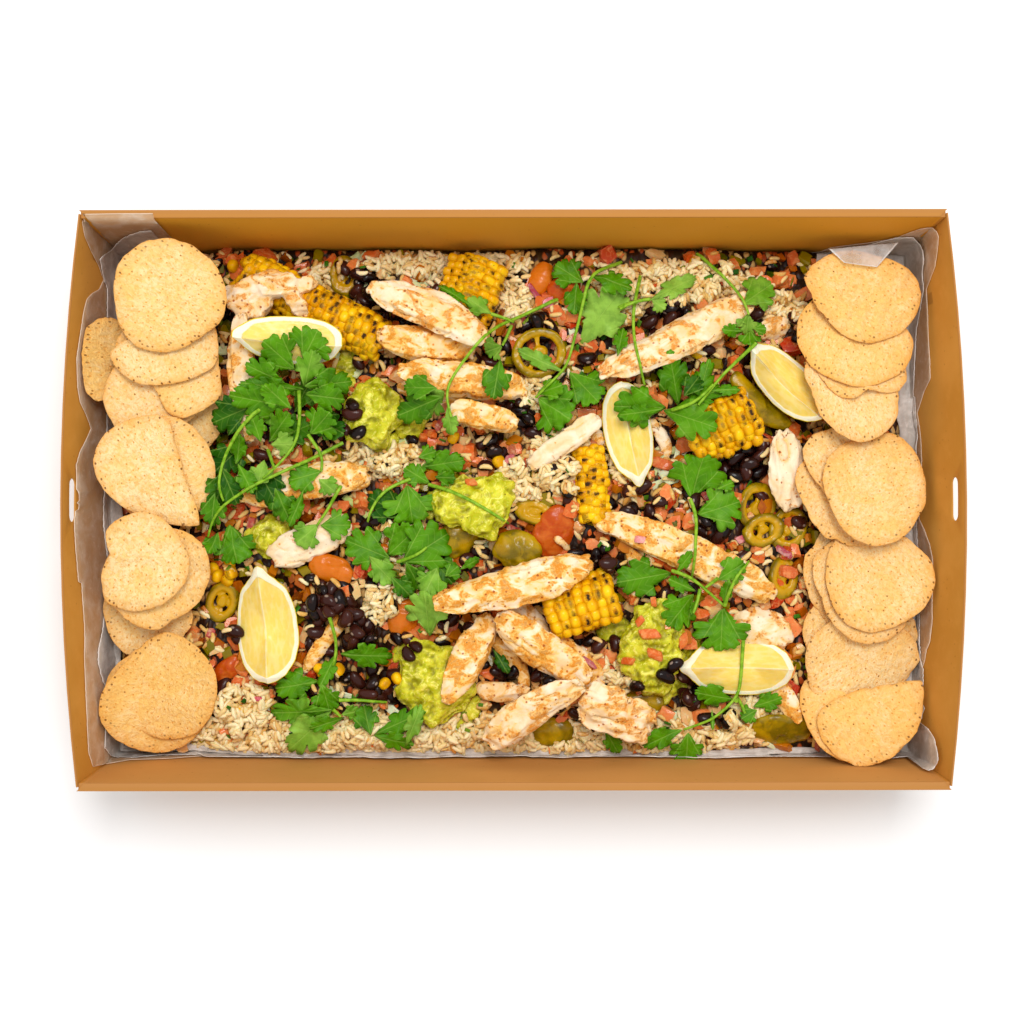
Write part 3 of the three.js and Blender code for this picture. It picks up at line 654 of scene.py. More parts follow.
def makeCore():
    bed = copyOf("salad_bed", "salad_core")
    modify(bed, "SUBSURF", subdivision_type="SIMPLE", levels=2, render_levels=2)
    points = pointsOf(bed)
    top = normalsOf(bed)[:, 2] > 0.3
    points[top, 2] += core["lump"] * bumpy(points[top], 6, 2) - core["sink"]
    points[~top, :2] *= 0.998
    setPoints(bed, points)
    setNumbers(bed, "rice", [min(1, 1.6 * pull("rice", p[0] / mm, p[1] / mm)) for p in points])
    return finishPiece(bed, coreFinish(), "salad_bed")


def toppings(kind):
    return [name for name in toppingNames if name.startswith(kind + "_")]


bed = makeCore()
toppingNames = [name for name in nodes if name not in ("tray", "liner", "salad_bed")]
bedTree = treeOf([bed])
print("bed done")
makeLiner()
print("liner done")

# corn chips
# grain, the darker gold in the dips of the fine bumps, is partly the chip's own mottling and partly painted
# shade
crisp = dict(pale=shade(255, 228, 174), gold=shade(252, 208, 126), tan=shade(236, 168, 76),
             grain=shade(240, 178, 88), dot=shade(234, 158, 58), speck=shade(124, 68, 18), nicks=0.014,
             dip=0.15, dipFrom=-0.121, sag=0.0009, ripple=0.00050, blister=0.00042, wallGap=0.0012,
             nearWall=0.219, tipRise=0.38, dotGap=4.4, faintGap=2.7, burnGap=4.8)
# how far each chip reaches from its middle, in mm, at even steps around it
crispReach = dict(
    chip_left_1=(18.4, 19, 21.2, 25, 25.8, 19.5, 14.6, 10.7, 6.8, 12, *[20.2] * 6, 15, 12.1, 20.7, 24.5,
                 25.5, 24.8, 21.2, 19),
    chip_left_2=(*[27.2] * 8, 28.1, 28.6, 28.2, 27.9, 27.6, 27.4, 27.4, *[27.2] * 9),
    chip_left_3=(24.9, 28.6, 31.3, 33.4, 35.8, 32.3, *[28] * 16, 26.1, 22),
    chip_left_4=(20, 18, 16, 14, 14, 17.5, 26, 30.5, 30.5, 31.8, 32.5, 28.4, 26.5, 27.4, *[27.8] * 10),
    chip_left_5=(17, 29.5, 29.6, 28.8, 27.4, 25.5, 24.3, 23.8, 24.6, 26.3, 28.7, 28.8, 27.2, *[27] * 7, 23,
                 20, 17, 15),
    chip_left_6=(*[28] * 8, 28.3, 28.6, 28.8, 29, 29.2, 28.7, 28.8, 29.3, 29.7, 30.1, 28.8, *[28] * 5),
    chip_left_7=(24.7, 23.2, 22.2, 21.4, 21.7, 22.3, 23.7, 26.6, 33.1, 40.1, 29.7, 23.3, 20.6, 20.4, 20.9,
                 23.5, 28.8, 31.4, 29.5, 28.3, 28, 27.7, 27.1, 26.4),
    chip_left_8=(32, 31.8, 32, 32.3, 32.5, 29.5, 27.5, 27.5, 23.4, 21.4, 21.7, 20.7, 17.6, 21.7, *[27.5] * 9,
                 30.1),
    chip_left_9=(27.8, 27.8, 27.8, 28, 28.4, 28.9, 28.1, 23.9, 23.9, 24.4, 24.8, 25.2, 26.8, 28.4, 29.4,
                 29.6, 28.7, 27.3, 27.6, *[27.8] * 5),
    chip_left_10=(18.6, 21.8, 24.4, 28.6, 27.7, 26.9, 25.6, 24.7, 24.2, 24, 24.3, 24.8, 24.6, 23.8, 23.2,
                  23.8, 25.2, 26.7, 27.1, 25.9, 25.4, 24.4, 19.8, 16.1),
    chip_left_11=(34.6, 36, 35.6, 33.7, 31.9, 31.5, 31.1, 29.9, 29, 28.5, *[28] * 12, 28.8, 31.8),
    chip_left_12=(34.5, 33, 30, 28.3, 27, 27.3, 27.5, 28, 28.6, 28.7, 28.4, 27.9, 28.7, 29.4, 29.6, 29.4,
                  30.3, 31.2, 31.8, 29.6, 27.2, 27.1, 30.3, 32.9),
    chip_left_13=(26.4, 27.1, 28.9, 30.9, 32.4, 31.7, 30.4, 29.5, 28.2, 28.8, 31, 31.5, 31.2, 30.3, 29.2,
                  28.4, 28.1, 27.9, 27.7, 27.8, 27.4, 27.4, 27.2, 26.6),
    chip_right_1=(25.2, 24.2, 24.4, 23.5, 25.8, *[27.8] * 14, 28.3, 30.2, 27, 27.9, 26.6),
    chip_right_2=(30.3, 30.6, 32, 33.1, 27.5, 27.7, *[27.8] * 4, 28.5, 29.7, 33.5, 32.9, 30.7, 29,
                  *[27.8] * 4, 27.4, 27.7, 29.5, 30.7),
    chip_right_3=(26.1, 28.1, 28.9, 29, 29.1, 29, 27.9, 26.6, 25.8, 25.4, 26.1, 27.7, 28.8, 31.6, 35.4, 21.1,
                  16.8, 12.8, 12.6, 12.4, 12.2, 12.9, 15.8, 19.7),
    chip_right_4=(25.2, 23, 24, 25.1, 26.5, 29.1, 30.9, 31.9, 32.4, 32.9, 30.3, *[28.8] * 10, 29.8, 30.2,
                  28.1),
    chip_right_5=(27.7, 27.4, 27.7, 28.3, 28.8, 28.9, 28.1, 27.4, 27.5, 28.6, 30.4, 32.1, 33.3, 33, 30.7,
                  29.6, 28.9, 28.3, 28.2, 29.1, 31.6, 30.6, 29.4, 28.2),
    chip_right_6=(27, 24.6, 24.6, 24.7, 25.8, 24.4, 26.6, *[27.8] * 13, 28, 30.4, 31.7, 30.3),
    chip_right_7=(22.5, 19.2, 18.6, 20.5, 23.1, 26.9, *[28] * 13, 28.6, 30, 32.5, 31.7, 27.4),
    chip_right_8=(28.1, 26.8, 26.7, 28.4, 28.9, 29.8, 30.5, 30.6, 30.4, 29, 28.3, 29.6, 29.1, 29.5, 30.4, 32,
                  33.3, 32.4, 28.6, 27.2, 29.3, 30, 30.5, 29.6),
    chip_right_9=(24.3, 23.8, 24.3, 24.8, 25.4, 27.1, 28.3, 28.8, 28.4, 28.2, 27.3, 25.5, 24.6, 26.1,
                  *[26.8] * 7, 27.6, 30.4, 28.5),
    chip_right_10=(32.8, 31.2, 29.7, 27.4, 25.9, 25.5, 25.6, 25.9, 26.7, 28.3, 30.7, 31.6, 31.5, 29,
                   *[28.8] * 6, 29.8, 32.3, 33.4, 33.5),
    chip_right_11=(29.1, 28, 25.4, 25.3, 25.3, 25.4, 25.8, 26.3, 26.9, 28.7, 29.7, 30.6, 31.6, 31.4, 29.5,
                   26.9, 24.6, 24, 24.6, 26.1, 28, 30.2, 33.1, 34.3),
    corn_chip_under_1=(*[27] * 5, 24.8, 19.3, 20, 23.8, 27.6, 27.6, 25, 26.6, *[27] * 11),
    corn_chip_under_2=(27.3, 26.6, *[27] * 9, 32.6, 36.8, 36.2, 31.4, *[27] * 5, 27.3, 28.4, 28.9, 28.7),
    corn_chip_under_3=(27.4, 26.3, 26.4, 27, 27.9, 28.4, 28.4, 28.4, 29.5, 30.6, 30.5, 29.7, 29.6, 25.9, 14,
                       10.6, 7.1, 3.7, 8, 14, 18, 24, 28.2, 28.2))
# chips of which little shows, each like one beside it and moved a little, in mm
crispUnder = dict(corn_chip_under_1=("chip_right_10", (3.5, -8, -1.8)),
                  corn_chip_under_2=("chip_right_2", (-3.5, 12, -2)),
                  corn_chip_under_3=("chip_right_3", (-7.5, 2, -3.4)))


def crispFinish(name, deep):
    finish = Finish(name, Roughness=0.72)
    plan = finish.place(uvMap="plan")
    patches = finish.noise(17, 3, 0.6, 0.4, plan)
    mottle = finish.noise(3.2, 4, 0.62, 1.6, finish.place((0.7, 1, 1), "plan"))
    fine = finish.noise(1.1, 2, 0.6, 0, plan)
    grain = finish.noise(2.0, 2, 0.6, 0.8, plan)
    rows = finish.place((1, 1.3, 1), "plan")
    rim = finish.attribute("edge")
    colour = finish.mix((patches.ramp(0.36, 0.7) * 0.5 + deep).ramp(0, 1), crisp["pale"], crisp["gold"])
    # gold in the dips and pale on the rises of the bump noise: partly the chip's own browning, partly painted
    # shade and light on the bumps
    colour = finish.mix(mottle.ramp(0.47, 0.6) * (0.6 + deep * 0.3), colour, crisp["gold"])
    colour = finish.mix((1 - mottle).ramp(0.54, 0.68) * 0.5, colour, crisp["pale"])
    colour = finish.mix(grain.ramp(0.5, 0.64) * 0.45, colour, crisp["grain"])
    colour = finish.mix((rim ** 9) * (0.35 + 0.6 * patches), colour, crisp["tan"])
    dots = finish.flecks(crisp["dotGap"], 0.08, 0.15, 0.36, 0.6, 0.7, rows, True)
    faint = finish.flecks(crisp["faintGap"], 0.1, 0.2, 0.4, 0.7, 0.9, rows, True)
    dark = finish.cellChance(crisp["dotGap"] * 1.01, 0.7, rows, True).ramp(0.9, 0.95)
    colour = finish.mix(faint * 0.4, colour, crisp["tan"])
    colour = finish.mix(dots * 0.85, colour, crisp["dot"])
    colour = finish.mix(dots * dark * 0.6, colour, crisp["speck"])
    burns = finish.flecks(crisp["burnGap"], 0.10, 0.17, 0.25, 0.35, 0.9, rows, True)
    toasted = rim.ramp(0.78, 0.93) * burns * patches.ramp(0.4, 0.52)
    colour = finish.mix(toasted * 0.85, colour, crisp["speck"])
    height = (1 - mottle).ramp(0.34, 0.66) + (1 - grain).ramp(0.36, 0.6) * 0.7 + fine * 0.3 - dots * 0.3
    return finish.wear(colour, 0.62 + mottle * 0.2, finish.bump(height, 0.8, 0.5))


crispRippled = ("chip_left_1", "chip_left_9", "chip_left_5", "chip_right_3", "chip_right_11")
crispGolden = ("chip_left_1", "chip_left_11", "chip_left_12", "chip_right_3", "chip_right_11",
               "chip_right_10", "corn_chip_under_3")
trayWalls = treeOf([nodes["tray"]])


def tipUp(points):                                # a chip's outer side rises where it meets an end wall
    side = 1 if points[:, 0].mean() > 0 else -1
    for _ in range(5):
        out = points[:, 0] * side
        over = 0
        for x, y, z in points[out > crisp["nearWall"]]:
            spot = trayWalls.ray_cast(Vector((side * 0.2, y, z)), Vector((side, 0, 0)))[0]
            if spot:
                over = max(over, side * x + crisp["wallGap"] - side * spot.x)
        if over <= 0:
            break
        middle = out.mean()
        rise = over / crisp["tipRise"] * np.clip((out - middle) / (out.max() - middle), 0, 1) ** 1.3
        points[:, 2] += rise
        points[:, 0] *= 1 - rise / (eyeHeight - points[:, 2])


def makeCrisp(count, name, piece, finish):
    modify(piece, "SUBSURF", levels=3, render_levels=3)
    points = pointsOf(piece)
    middle = (points.min(0) + points.max(0))[:2] / 2
    away = points[:, :2] - middle
    angle = np.arctan2(away[:, 1], away[:, 0])
    reach = np.hypot(away[:, 0], away[:, 1])
    edge = rimShare(angle, reach, 48, reach.max())
    steps = np.arange(24) / 12 * math.pi - math.pi
    real = np.interp(angle, steps, crispReach[name], period=2 * math.pi) * mm
    ring = np.column_stack([np.cos(angle), np.sin(angle), np.full(len(angle), count)]) * 0.01
    nicks = crisp["nicks"] * (bumpy(ring, 2.4, count + 50) + 0.7 * bumpy(ring, 0.9, count + 90))
    real *= edge * (1 + nicks * edge ** 3)
    points[:, 0] = middle[0] + np.cos(angle) * real
    points[:, 1] = middle[1] + np.sin(angle) * real
    turn = count * 1.7
    a = (points[:, 0] - middle[0]) * math.cos(turn) - (points[:, 1] - middle[1]) * math.sin(turn)
    b = (points[:, 0] - middle[0]) * math.sin(turn) + (points[:, 1] - middle[1]) * math.cos(turn)
    flat = np.column_stack([a, b, np.zeros(len(a))])
    strong = 2.2 if name in crispRippled else 1
    points[:, 2] += crisp["sag"] * bumpy(flat, 15, count) + crisp["blister"] * bumpy(flat, 3.0, count)
    points[:, 2] += strong * crisp["ripple"] * bumpy(flat, 5, count, (1, 0.4, 1))
    tipUp(points)
    setPoints(piece, points)
    setNumbers(piece, "edge", edge)
    setMap(piece, "plan", np.column_stack([a, b]) + count * 0.11)
    return finishPiece(piece, finish, name if name in nodes else None)


def makeCrisps():
    finishes = [crispFinish("corn_chip_pale", 0.08), crispFinish("corn_chip_gold", 0.28),
                crispFinish("corn_chip_deep", 0.52)]
    made = []
    for count, name in enumerate(toppings("chip") + list(crispUnder)):
        if name in crispUnder:
            source, shift = crispUnder[name]
            piece = copyOf(source, name)
            points = pointsOf(piece) + np.array(shift) * mm
            if name == "corn_chip_under_3":       # its back goes under the chip behind it
                points[:, 2] -= crisp["dip"] * np.clip(points[:, 1] - crisp["dipFrom"], 0, None)
            setPoints(piece, points)
        else:
            piece = copyOf(name, name + "_crisp")
        kind = 2 if name in crispGolden else (count * 7) % 5 // 3
        made.append(makeCrisp(count, name, piece, finishes[kind]))
    return made


crisps = makeCrisps()
print("chips done")


# a fold of the liner that lies over the chip in the back right corner
def makeFlap():
    tree = treeOf(crisps)
    corners = np.array([(170, 135, 51), (208, 139, 49), (196, 125.5, 50), (178, 127.5, 52)]) * mm
    points, edges = [], []
    size = 14
    for i in range(size + 1):
        for j in range(size + 1):
            u, v = i / size, j / size
            spot = (corners[0] * (1 - u) * (1 - v) + corners[1] * u * (1 - v)
                    + corners[2] * u * v + corners[3] * (1 - u) * v)
            lift = 0.0010 * noise.noise(Vector((u * 5, v * 5, 3)))
            level = topOf(tree, spot[0], spot[1])[0] or 0
            points.append((spot[0], spot[1], max(spot[2], level + 0.0008) + lift))
            edges.append(min(u, 1 - u, 1 - v) * 0.02)
    flap = newPiece("liner_flap", points, sheetFaces(size + 1, size + 1))
    setNumbers(flap, "edge", edges)
    modify(flap, "SOLIDIFY", thickness=paper["thick"], offset=0)
    finishPiece(flap, linerFinish("film"))


makeFlap()

# chicken
meat = dict(white=shade(252, 234, 205), cream=shade(246, 211, 158), stain=shade(252, 198, 90),
            spice=shade(222, 138, 12), rust=shade(168, 72, 0), dot=shade(88, 38, 6), voxel=0.0010,
            squareness=5.0, facets=9, torn=dict(chicken_17=3.2, chicken_9=2.0, chicken_7=2.6, chicken_8=2.6),
            flakes=[(-141, 115, 36, 33, 11, 6, 51), (-152, 113, 0, 10, 8, 6, 49),
                    (-126, 116, 10, 21, 13, 8, 52), (-116, 106, -60, 18, 9, 7, 51),
                    (-141, 103, 20, 19, 12, 7, 49), (-110, 117, 20, 12, 8, 6, 50),
                    (-133, 108, 80, 12, 7, 6, 50)])


def meatFinish(name, spiced):
    finish = Finish(name, Roughness=0.42)
    along = finish.place((0.25, 1, 1), "grain")
    fibres = finish.noise(1.9, 4, 0.62, 0.5, along)
    broad = finish.noise(12, 3, 0.6, 0.6)
    patch = finish.noise(7.5, 3, 0.62, 0.6, finish.place((0.8, 1, 1)))
    small = finish.noise(1.9, 3, 0.66, 0.3)
    crease = finish.attribute("crease")
    colour = finish.mix(broad.ramp(0.35, 0.7), meat["white"], meat["cream"])
    colour = finish.mix(fibres.ramp(0.52, 0.8) * 0.3, colour, meat["cream"])
    colour = finish.mix(crease.ramp(0.1, 0.8) * 0.45, colour, meat["stain"])
    low = 0.665 - spiced * 0.175
    colour = finish.mix(patch.ramp(low - 0.12, low + 0.04) * 0.85 * spiced, colour, meat["stain"])
    cover = patch.ramp(low - 0.02, low + 0.05) * small.ramp(0.44, 0.55)
    colour = finish.mix(cover * 0.82, colour, meat["spice"])
    colour = finish.mix(patch.ramp(low + 0.02, low + 0.08) * (1 - small).ramp(0.5, 0.58) * 0.5, colour,
                        meat["rust"])
    dabs = finish.flecks(3.3, 0.14, 0.26, 0.4, 0.46)
    near = patch.ramp(low - 0.12, low - 0.04)
    colour = finish.mix(dabs * near * 0.85, colour, meat["rust"])
    grit = finish.flecks(4.2, 0.1, 0.2, 0.74 - spiced * 0.3, 0.8)
    colour = finish.mix(grit * 0.9, colour, meat["spice"])
    dots = finish.flecks(5.0, 0.05, 0.09, 0.5, 0.6)
    colour = finish.mix(dots * (0.35 + spiced * 0.6), colour, meat["dot"])
    height = fibres + 0.5 * finish.noise(1.0, 2) + cover * 0.3
    return finish.wear(colour, 0.34 + broad * 0.22, finish.bump(height, 0.5, 0.65))


def squareOff(piece):                             # a rounder section becomes a cut slab
    points = pointsOf(piece)
    lie = Lie(points)
    a, b = lie.local(points)
    z = points[:, 2] - lie.middle[2]
    bins = np.clip(((a / lie.length + 0.5) * 24).astype(int), 0, 23)
    centre = perBin(bins, 24, lambda at: b[at].mean(), 0)
    level = perBin(bins, 24, lambda at: z[at].mean(), 0)
    half = perBin(bins, 24, lambda at: np.ptp(b[at]) / 2, 1)
    tall = perBin(bins, 24, lambda at: np.ptp(z[at]) / 2, 1)
    u = (b - centre[bins]) / np.maximum(half[bins], 0.001)
    v = (z - level[bins]) / np.maximum(tall[bins], 0.001)
    grow = squarer(np.arctan2(v, u), meat["squareness"])
    grow = 1 + (grow - 1) * np.clip(np.hypot(u, v), 0, 1)
    shift = (b - centre[bins]) * (grow - 1)
    points[:, 0] += shift * lie.across[0]
    points[:, 1] += shift * lie.across[1]
    points[:, 2] += (z - level[bins]) * (grow - 1) * 0.8
    setPoints(piece, points)


def cutFacets(piece, seed):                       # knife cuts along the piece
    rng = random.Random(seed)
    points = pointsOf(piece)
    lie = Lie(points)
    a, b = lie.local(points)
    own = np.column_stack([a, b, points[:, 2] - lie.middle[2]])
    for _ in range(meat["facets"]):
        tilt, spin = rng.uniform(0.15, 0.9), rng.choice((-1, 1)) * rng.uniform(1.1, 2.0)
        side = math.sin(tilt)
        normal = np.array([side * math.cos(spin) * 0.35, side * math.sin(spin), math.cos(tilt)])
        normal /= np.linalg.norm(normal)
        out = own @ normal
        limit = out.max() * rng.uniform(0.78, 0.92)
        own -= np.maximum(out - limit, 0)[:, None] * normal * 0.92
    place = lie.middle + own[:, :1] * lie.along + own[:, 1:2] * lie.across
    place[:, 2] = lie.middle[2] + own[:, 2]
    setPoints(piece, place)


def tearMeat(piece, seed, lump=0.0010, fibre=0.0008, torn=1):
    modify(piece, "REMESH", mode="VOXEL", voxel_size=meat["voxel"])
    cutFacets(piece, seed)
    points = pointsOf(piece)
    normals = normalsOf(piece)
    lie = Lie(points)
    a, b = lie.local(points)
    own = np.column_stack([a, b, points[:, 2] - lie.middle[2]])
    ends = np.clip((np.abs(a) / (lie.length / 2) - 0.7) / 0.3, 0, 1)
    sides = 1 - np.abs(normals[:, 2])
    push = 0.7 * lump * bumpy(own, 11, seed) + fibre * bumpy(own, 2.6, seed + 9, (0.16, 1, 1))
    push += 0.4 * fibre * bumpy(own, 1.6, seed + 3)
    bites = np.clip(bumpy(own, 6, seed + 12, (1, 1, 0.3)) - 0.1, 0, 1)
    push -= sides * 0.0045 * bites
    push -= ends * 0.0050 * np.clip(bumpy(own, 4, seed + 5, (0.3, 1, 1)) + 0.2, 0, 1)
    fold = np.abs(bumpy(own, 13, seed + 8, (0.45, 1, 0.4)))
    crease = np.clip(1 - fold / (0.035 + 0.012 * torn), 0, 1)
    crease *= bumpy(own, 16, seed + 15) > 0.08 - 0.06 * torn
    push -= 0.0011 * torn * crease
    push += 0.0008 * (torn - 1) * bumpy(own, 3.4, seed + 21, (0.5, 1, 1))
    setPoints(piece, points + normals * push[:, None])
    setNumbers(piece, "crease", crease)
    setMap(piece, "grain", np.column_stack([a, b]))


def stripPoints(block, turn, length, width, thick, curve=0):      # a tapered strip around its own middle
    points = block[0] * 1.0
    s = points[:, 0] / np.abs(points[:, 0]).max()
    taper = 1 - 0.75 * np.abs(s) ** 3.2 - 0.12 * s
    points[:, 1] *= taper * width * mm
    points[:, 2] *= (0.45 + 0.55 * taper) * thick * mm
    points[:, 0] *= length * mm
    points[:, 1] += curve * mm * (0.5 - s * s)
    spin = np.array(Matrix.Rotation(math.radians(turn), 3, "Z"))
    return points @ spin.T


def flaked(name, flakes):                         # a shredded piece, as one lump of torn flakes
    block = roundedBlock(7, 0.25)
    points, faces = [], []
    for x, y, turn, length, width, thick, z in flakes:
        faces += [[i + len(points) for i in face] for face in block[1]]
        points += (stripPoints(block, turn, length, width, thick) + np.array([x, y, z]) * mm).tolist()
    return newPiece(name, points, faces)


def makeMeat():
    plain = meatFinish("chicken_plain", 0.2)
    light = meatFinish("chicken_light", 0.75)
    spiced = meatFinish("chicken_spiced", 1.0)
    byName = {"chicken_5": plain, "chicken_7": plain, "chicken_8": light, "chicken_1": light,
              "chicken_6": light, "chicken_17": light, "chicken_11": plain, "chicken_16": light,
              "chicken_9": light}
    for seed, name in enumerate(toppings("chicken")):
        if name == "chicken_8":
            piece = flaked(name + "_meat", meat["flakes"])
        else:
            piece = copyOf(name, name + "_meat")
            modify(piece, "SUBSURF", levels=2, render_levels=2)
            squareOff(piece)
        tearMeat(piece, seed, torn=meat["torn"].get(name, 1))
        finishPiece(piece, byName.get(name, spiced), name)
    return plain, light, spiced


meatFinishes = makeMeat()
print("chicken done")

# lemon wedges
citrus = dict(flesh=shade(250, 223, 124), wet=shade(246, 210, 90), pith=shade(254, 248, 220),
              rind=shade(240, 206, 20), pithWidth=0.0031, tipPith=0.0062, rindWidth=0.0007, flatten=0.46,
              nipple=dict(lemon_1=180, lemon_2=-95, lemon_3=140, lemon_4=100, lemon_5=180), egg=0.10,
              corner=2.2, tip=dict(lemon_1=0.02, lemon_3=0.06), plainTip=0.085, tipWidth=0.24, waist=0.055)


def citrusFinish():
    finish = Finish("lemon", Roughness=0.3, Subsurface_Weight=0.12, Subsurface_Scale=0.004)
    depth = finish.attribute("depth")
    core = finish.attribute("core")
    vesicle = finish.place((0.32, 1, 1), "cut")
    drops = finish.cells(1.7, vector=vesicle)
    tint = finish.cellChance(1.7, vector=vesicle)
    clouds = finish.noise(9, 3, 0.6, 0.3)
    colour = finish.mix(tint * 0.2 + clouds.ramp(0.4, 0.65) * 0.4, citrus["flesh"], citrus["wet"])
    colour = finish.mix(drops.ramp(0.45, 0.75) * 0.15, colour, citrus["pith"])
    membrane = 1 - (core + (clouds - 0.5) * 0.0012).ramp(0.0002, 0.0009)
    colour = finish.mix(membrane * 0.4, colour, citrus["pith"])
    ragged = depth + (finish.noise(3, 3, 0.6) - 0.5) * 0.0008
    inPith = 1 - ragged.ramp(-0.0005, 0.0004)
    colour = finish.mix(inPith, colour, citrus["pith"])
    pits = finish.cells(1.3)
    onRind = 1 - finish.attribute("rim").ramp(citrus["rindWidth"] * 0.4, citrus["rindWidth"] * 1.3)
    colour = finish.mix(onRind, colour, citrus["rind"])
    flesh = (1 - inPith) * drops
    height = flesh * -0.25 + onRind * pits.ramp(0.1, 0.5) * 0.4 + (1 - inPith) * -0.5
    return finish.wear(colour, 0.2 + inPith * 0.3, finish.bump(height, 0.6, 0.6))


def roundWedge(points, lie, nipple, tip):              # a rounded outline with the fruit's tip at one end
    a, b = lie.local(points)
    p, q = a / (lie.length / 2), b / (lie.width / 2)
    angle, reach = np.arctan2(q, p), np.hypot(p, q)
    share = rimShare(angle, reach, 36, 1.0)
    sign = 1 if np.array(heading(nipple)) @ lie.along[:2] > 0 else -1
    full = squarer(angle, citrus["corner"])
    fromTip = np.abs(angle) if sign > 0 else math.pi - np.abs(angle)
    full += tip * np.exp(-(fromTip / citrus["tipWidth"]) ** 4)
    full -= citrus["waist"] * np.exp(-((fromTip - 0.5) / 0.25) ** 2)
    p, q = share * full * np.cos(angle), share * full * np.sin(angle)
    q *= 1 - citrus["egg"] * p * sign
    flat = np.outer(p * lie.length / 2 - a, lie.along) + np.outer(q * lie.width / 2 - b, lie.across)
    points[:, :2] += flat[:, :2]
    return sign


def keepRidges(piece):                            # the cut edges stay sharp when the wedge is rounded
    editing(piece)
    bpy.ops.mesh.select_all(action="DESELECT")
    edited()
    around = {}
    for face in piece.data.polygons:
        for key in face.edge_keys:
            around.setdefault(key, []).append(face)
    for edge in piece.data.edges:
        first, second = around[edge.key]
        ridge = first.material_index == second.material_index == 0
        ridge = ridge and first.normal.angle(second.normal) > 0.4
        edge.select = first.material_index != second.material_index or ridge
    bpy.ops.object.mode_set(mode="EDIT")
    bpy.ops.transform.edge_crease(value=1)
    edited()


def heartLine(piece, points, lie):                # the line where the two cut faces meet
    sides = {}
    for face in piece.data.polygons:
        if face.material_index == 0:
            for v in face.vertices:
                sides.setdefault(v, set()).add(np.sign(np.dot(np.array(face.normal), lie.across)))
    shared = [points[v] - lie.middle for v, found in sides.items() if len(found) > 1]
    return np.array(sorted((float(spot @ lie.along), float(spot @ lie.across)) for spot in shared))


def makeLemons():
    finish = citrusFinish()
    for seed, name in enumerate(toppings("lemon")):
        piece = copyOf(name, name + "_wedge")
        piece.data.materials.append(finish.material)
        for face in piece.data.polygons:
            face.material_index = 1 if face.normal.z < -0.05 else 0
        points = pointsOf(piece)
        lie = Lie(points)
        keepRidges(piece)
        line = heartLine(piece, points, lie)
        modify(piece, "SUBSURF", levels=3, render_levels=3)
        fine = pointsOf(piece)
        sign = roundWedge(fine, lie, citrus["nipple"][name], citrus["tip"].get(name, citrus["plainTip"]))
        setPoints(piece, fine)
        normals = normalsOf(piece)
        skinFaces = [list(f.vertices) for f in piece.data.polygons if f.material_index == 1]
        skinTree = BVHTree.FromPolygons([Vector(p) for p in fine], skinFaces)
        fa, fb = lie.local(fine)
        rim = np.array([skinTree.find_nearest(Vector(p))[3] for p in fine])
        tips = np.clip((np.abs(fa) / (lie.length / 2) - 0.62) / 0.38, 0, 1) ** 2
        depth = rim - citrus["pithWidth"] - citrus["tipPith"] * tips * (1 + 0.3 * sign * np.sign(fa))
        core = np.abs(fb - np.interp(fa, line[:, 0], line[:, 1]))
        hollow = np.clip(depth / 0.002 + 0.5, 0, 1)
        cutSide = normals[:, 2] > 0.25
        fine[cutSide, 2] -= citrus["flatten"] * rim[cutSide] ** 1.5 / math.sqrt(rim.max())
        fine += normals * (-0.0005 * hollow + 0.0002 * hollow * bumpy(fine, 3, seed)
                           + 0.0003 * bumpy(fine, 9, seed))[:, None]
        setPoints(piece, fine)
        for key, values in (("depth", depth), ("core", core), ("rim", rim)):
            setNumbers(piece, key, values)
        setMap(piece, "cut", np.column_stack([fa, fb]))
        finishPiece(piece, finish, name, angle=38)
        for face in piece.data.polygons:
            face.material_index = 0


makeLemons()
print("lemons done")

# corn: a core with every kernel on it
cob = dict(turns=dict(corn_1=-27, corn_2=72, corn_3=24, corn_4=18), reach=0.06, sink=0.0021,
           kernels=dict(corn_1=(0.0050, 0.0046, 0.0062), corn_2=(0.0062, 0.0041, 0.005),
                        corn_3=(0.0055, 0.0051, 0.0066), corn_4=(0.0057, 0.0057, 0.0068)),
           char=dict(corn_1=0.8, corn_2=0.9, corn_3=0.8, corn_4=0.55),
           round=dict(corn_1=0.75, corn_2=0.55, corn_3=0.8, corn_4=0.95),
           gold=shade(250, 188, 6), bright=shade(255, 210, 30), amber=shade(206, 136, 4),
           burnt=shade(46, 28, 10), halo=shade(170, 104, 10), heart=shade(176, 112, 16))


def kernelFinish():
    finish = Finish("corn_kernel", Roughness=0.25, Subsurface_Weight=0.1, Subsurface_Scale=0.002)
    tone = finish.attribute("tone")
    own = finish.place((0.5, 1, 1), "own")
    away = finish.distance(own)
    ragged = finish.noise(1.1, 3, 0.7)
    colour = finish.mix(finish.noise(9, 2).ramp(0.35, 0.7), cob["bright"], cob["gold"])
    colour = finish.mix((away * 1000).ramp(1.0, 3.0) * 0.7, colour, cob["amber"])
    place = away * 1000 + (ragged - 0.5) * 2.6 - tone * 0.5
    zone = 0.45 + 0.55 * finish.noise(17, 2, 0.5, 0.4).ramp(0.43, 0.55)
    halo = (1 - place.ramp(0.9, 1.9)) * zone
    colour = finish.mix(halo * tone.ramp(0.36, 0.56) * 0.75, colour, cob["halo"])
    spot = 1 - place.ramp(0.25, 0.75)
    grit = finish.flecks(2.6, 0.1, 0.18, 0.55, 0.65)
    colour = finish.mix(grit * zone * 0.75, colour, cob["burnt"])
    charred = spot * zone * tone.ramp(0.46, 0.56)
    colour = finish.mix(charred * 0.95, colour, cob["burnt"])
    scorch = tone.ramp(0.8, 1.0) * ragged.ramp(0.45, 0.62)
    colour = finish.mix(scorch * 0.8, colour, cob["burnt"])
    return finish.wear(colour, 0.2 + charred * 0.4, finish.bump(charred * -1 + ragged * 0.3, 0.35, 0.6))


kernelShape = roundedBlock(2, 0.8)


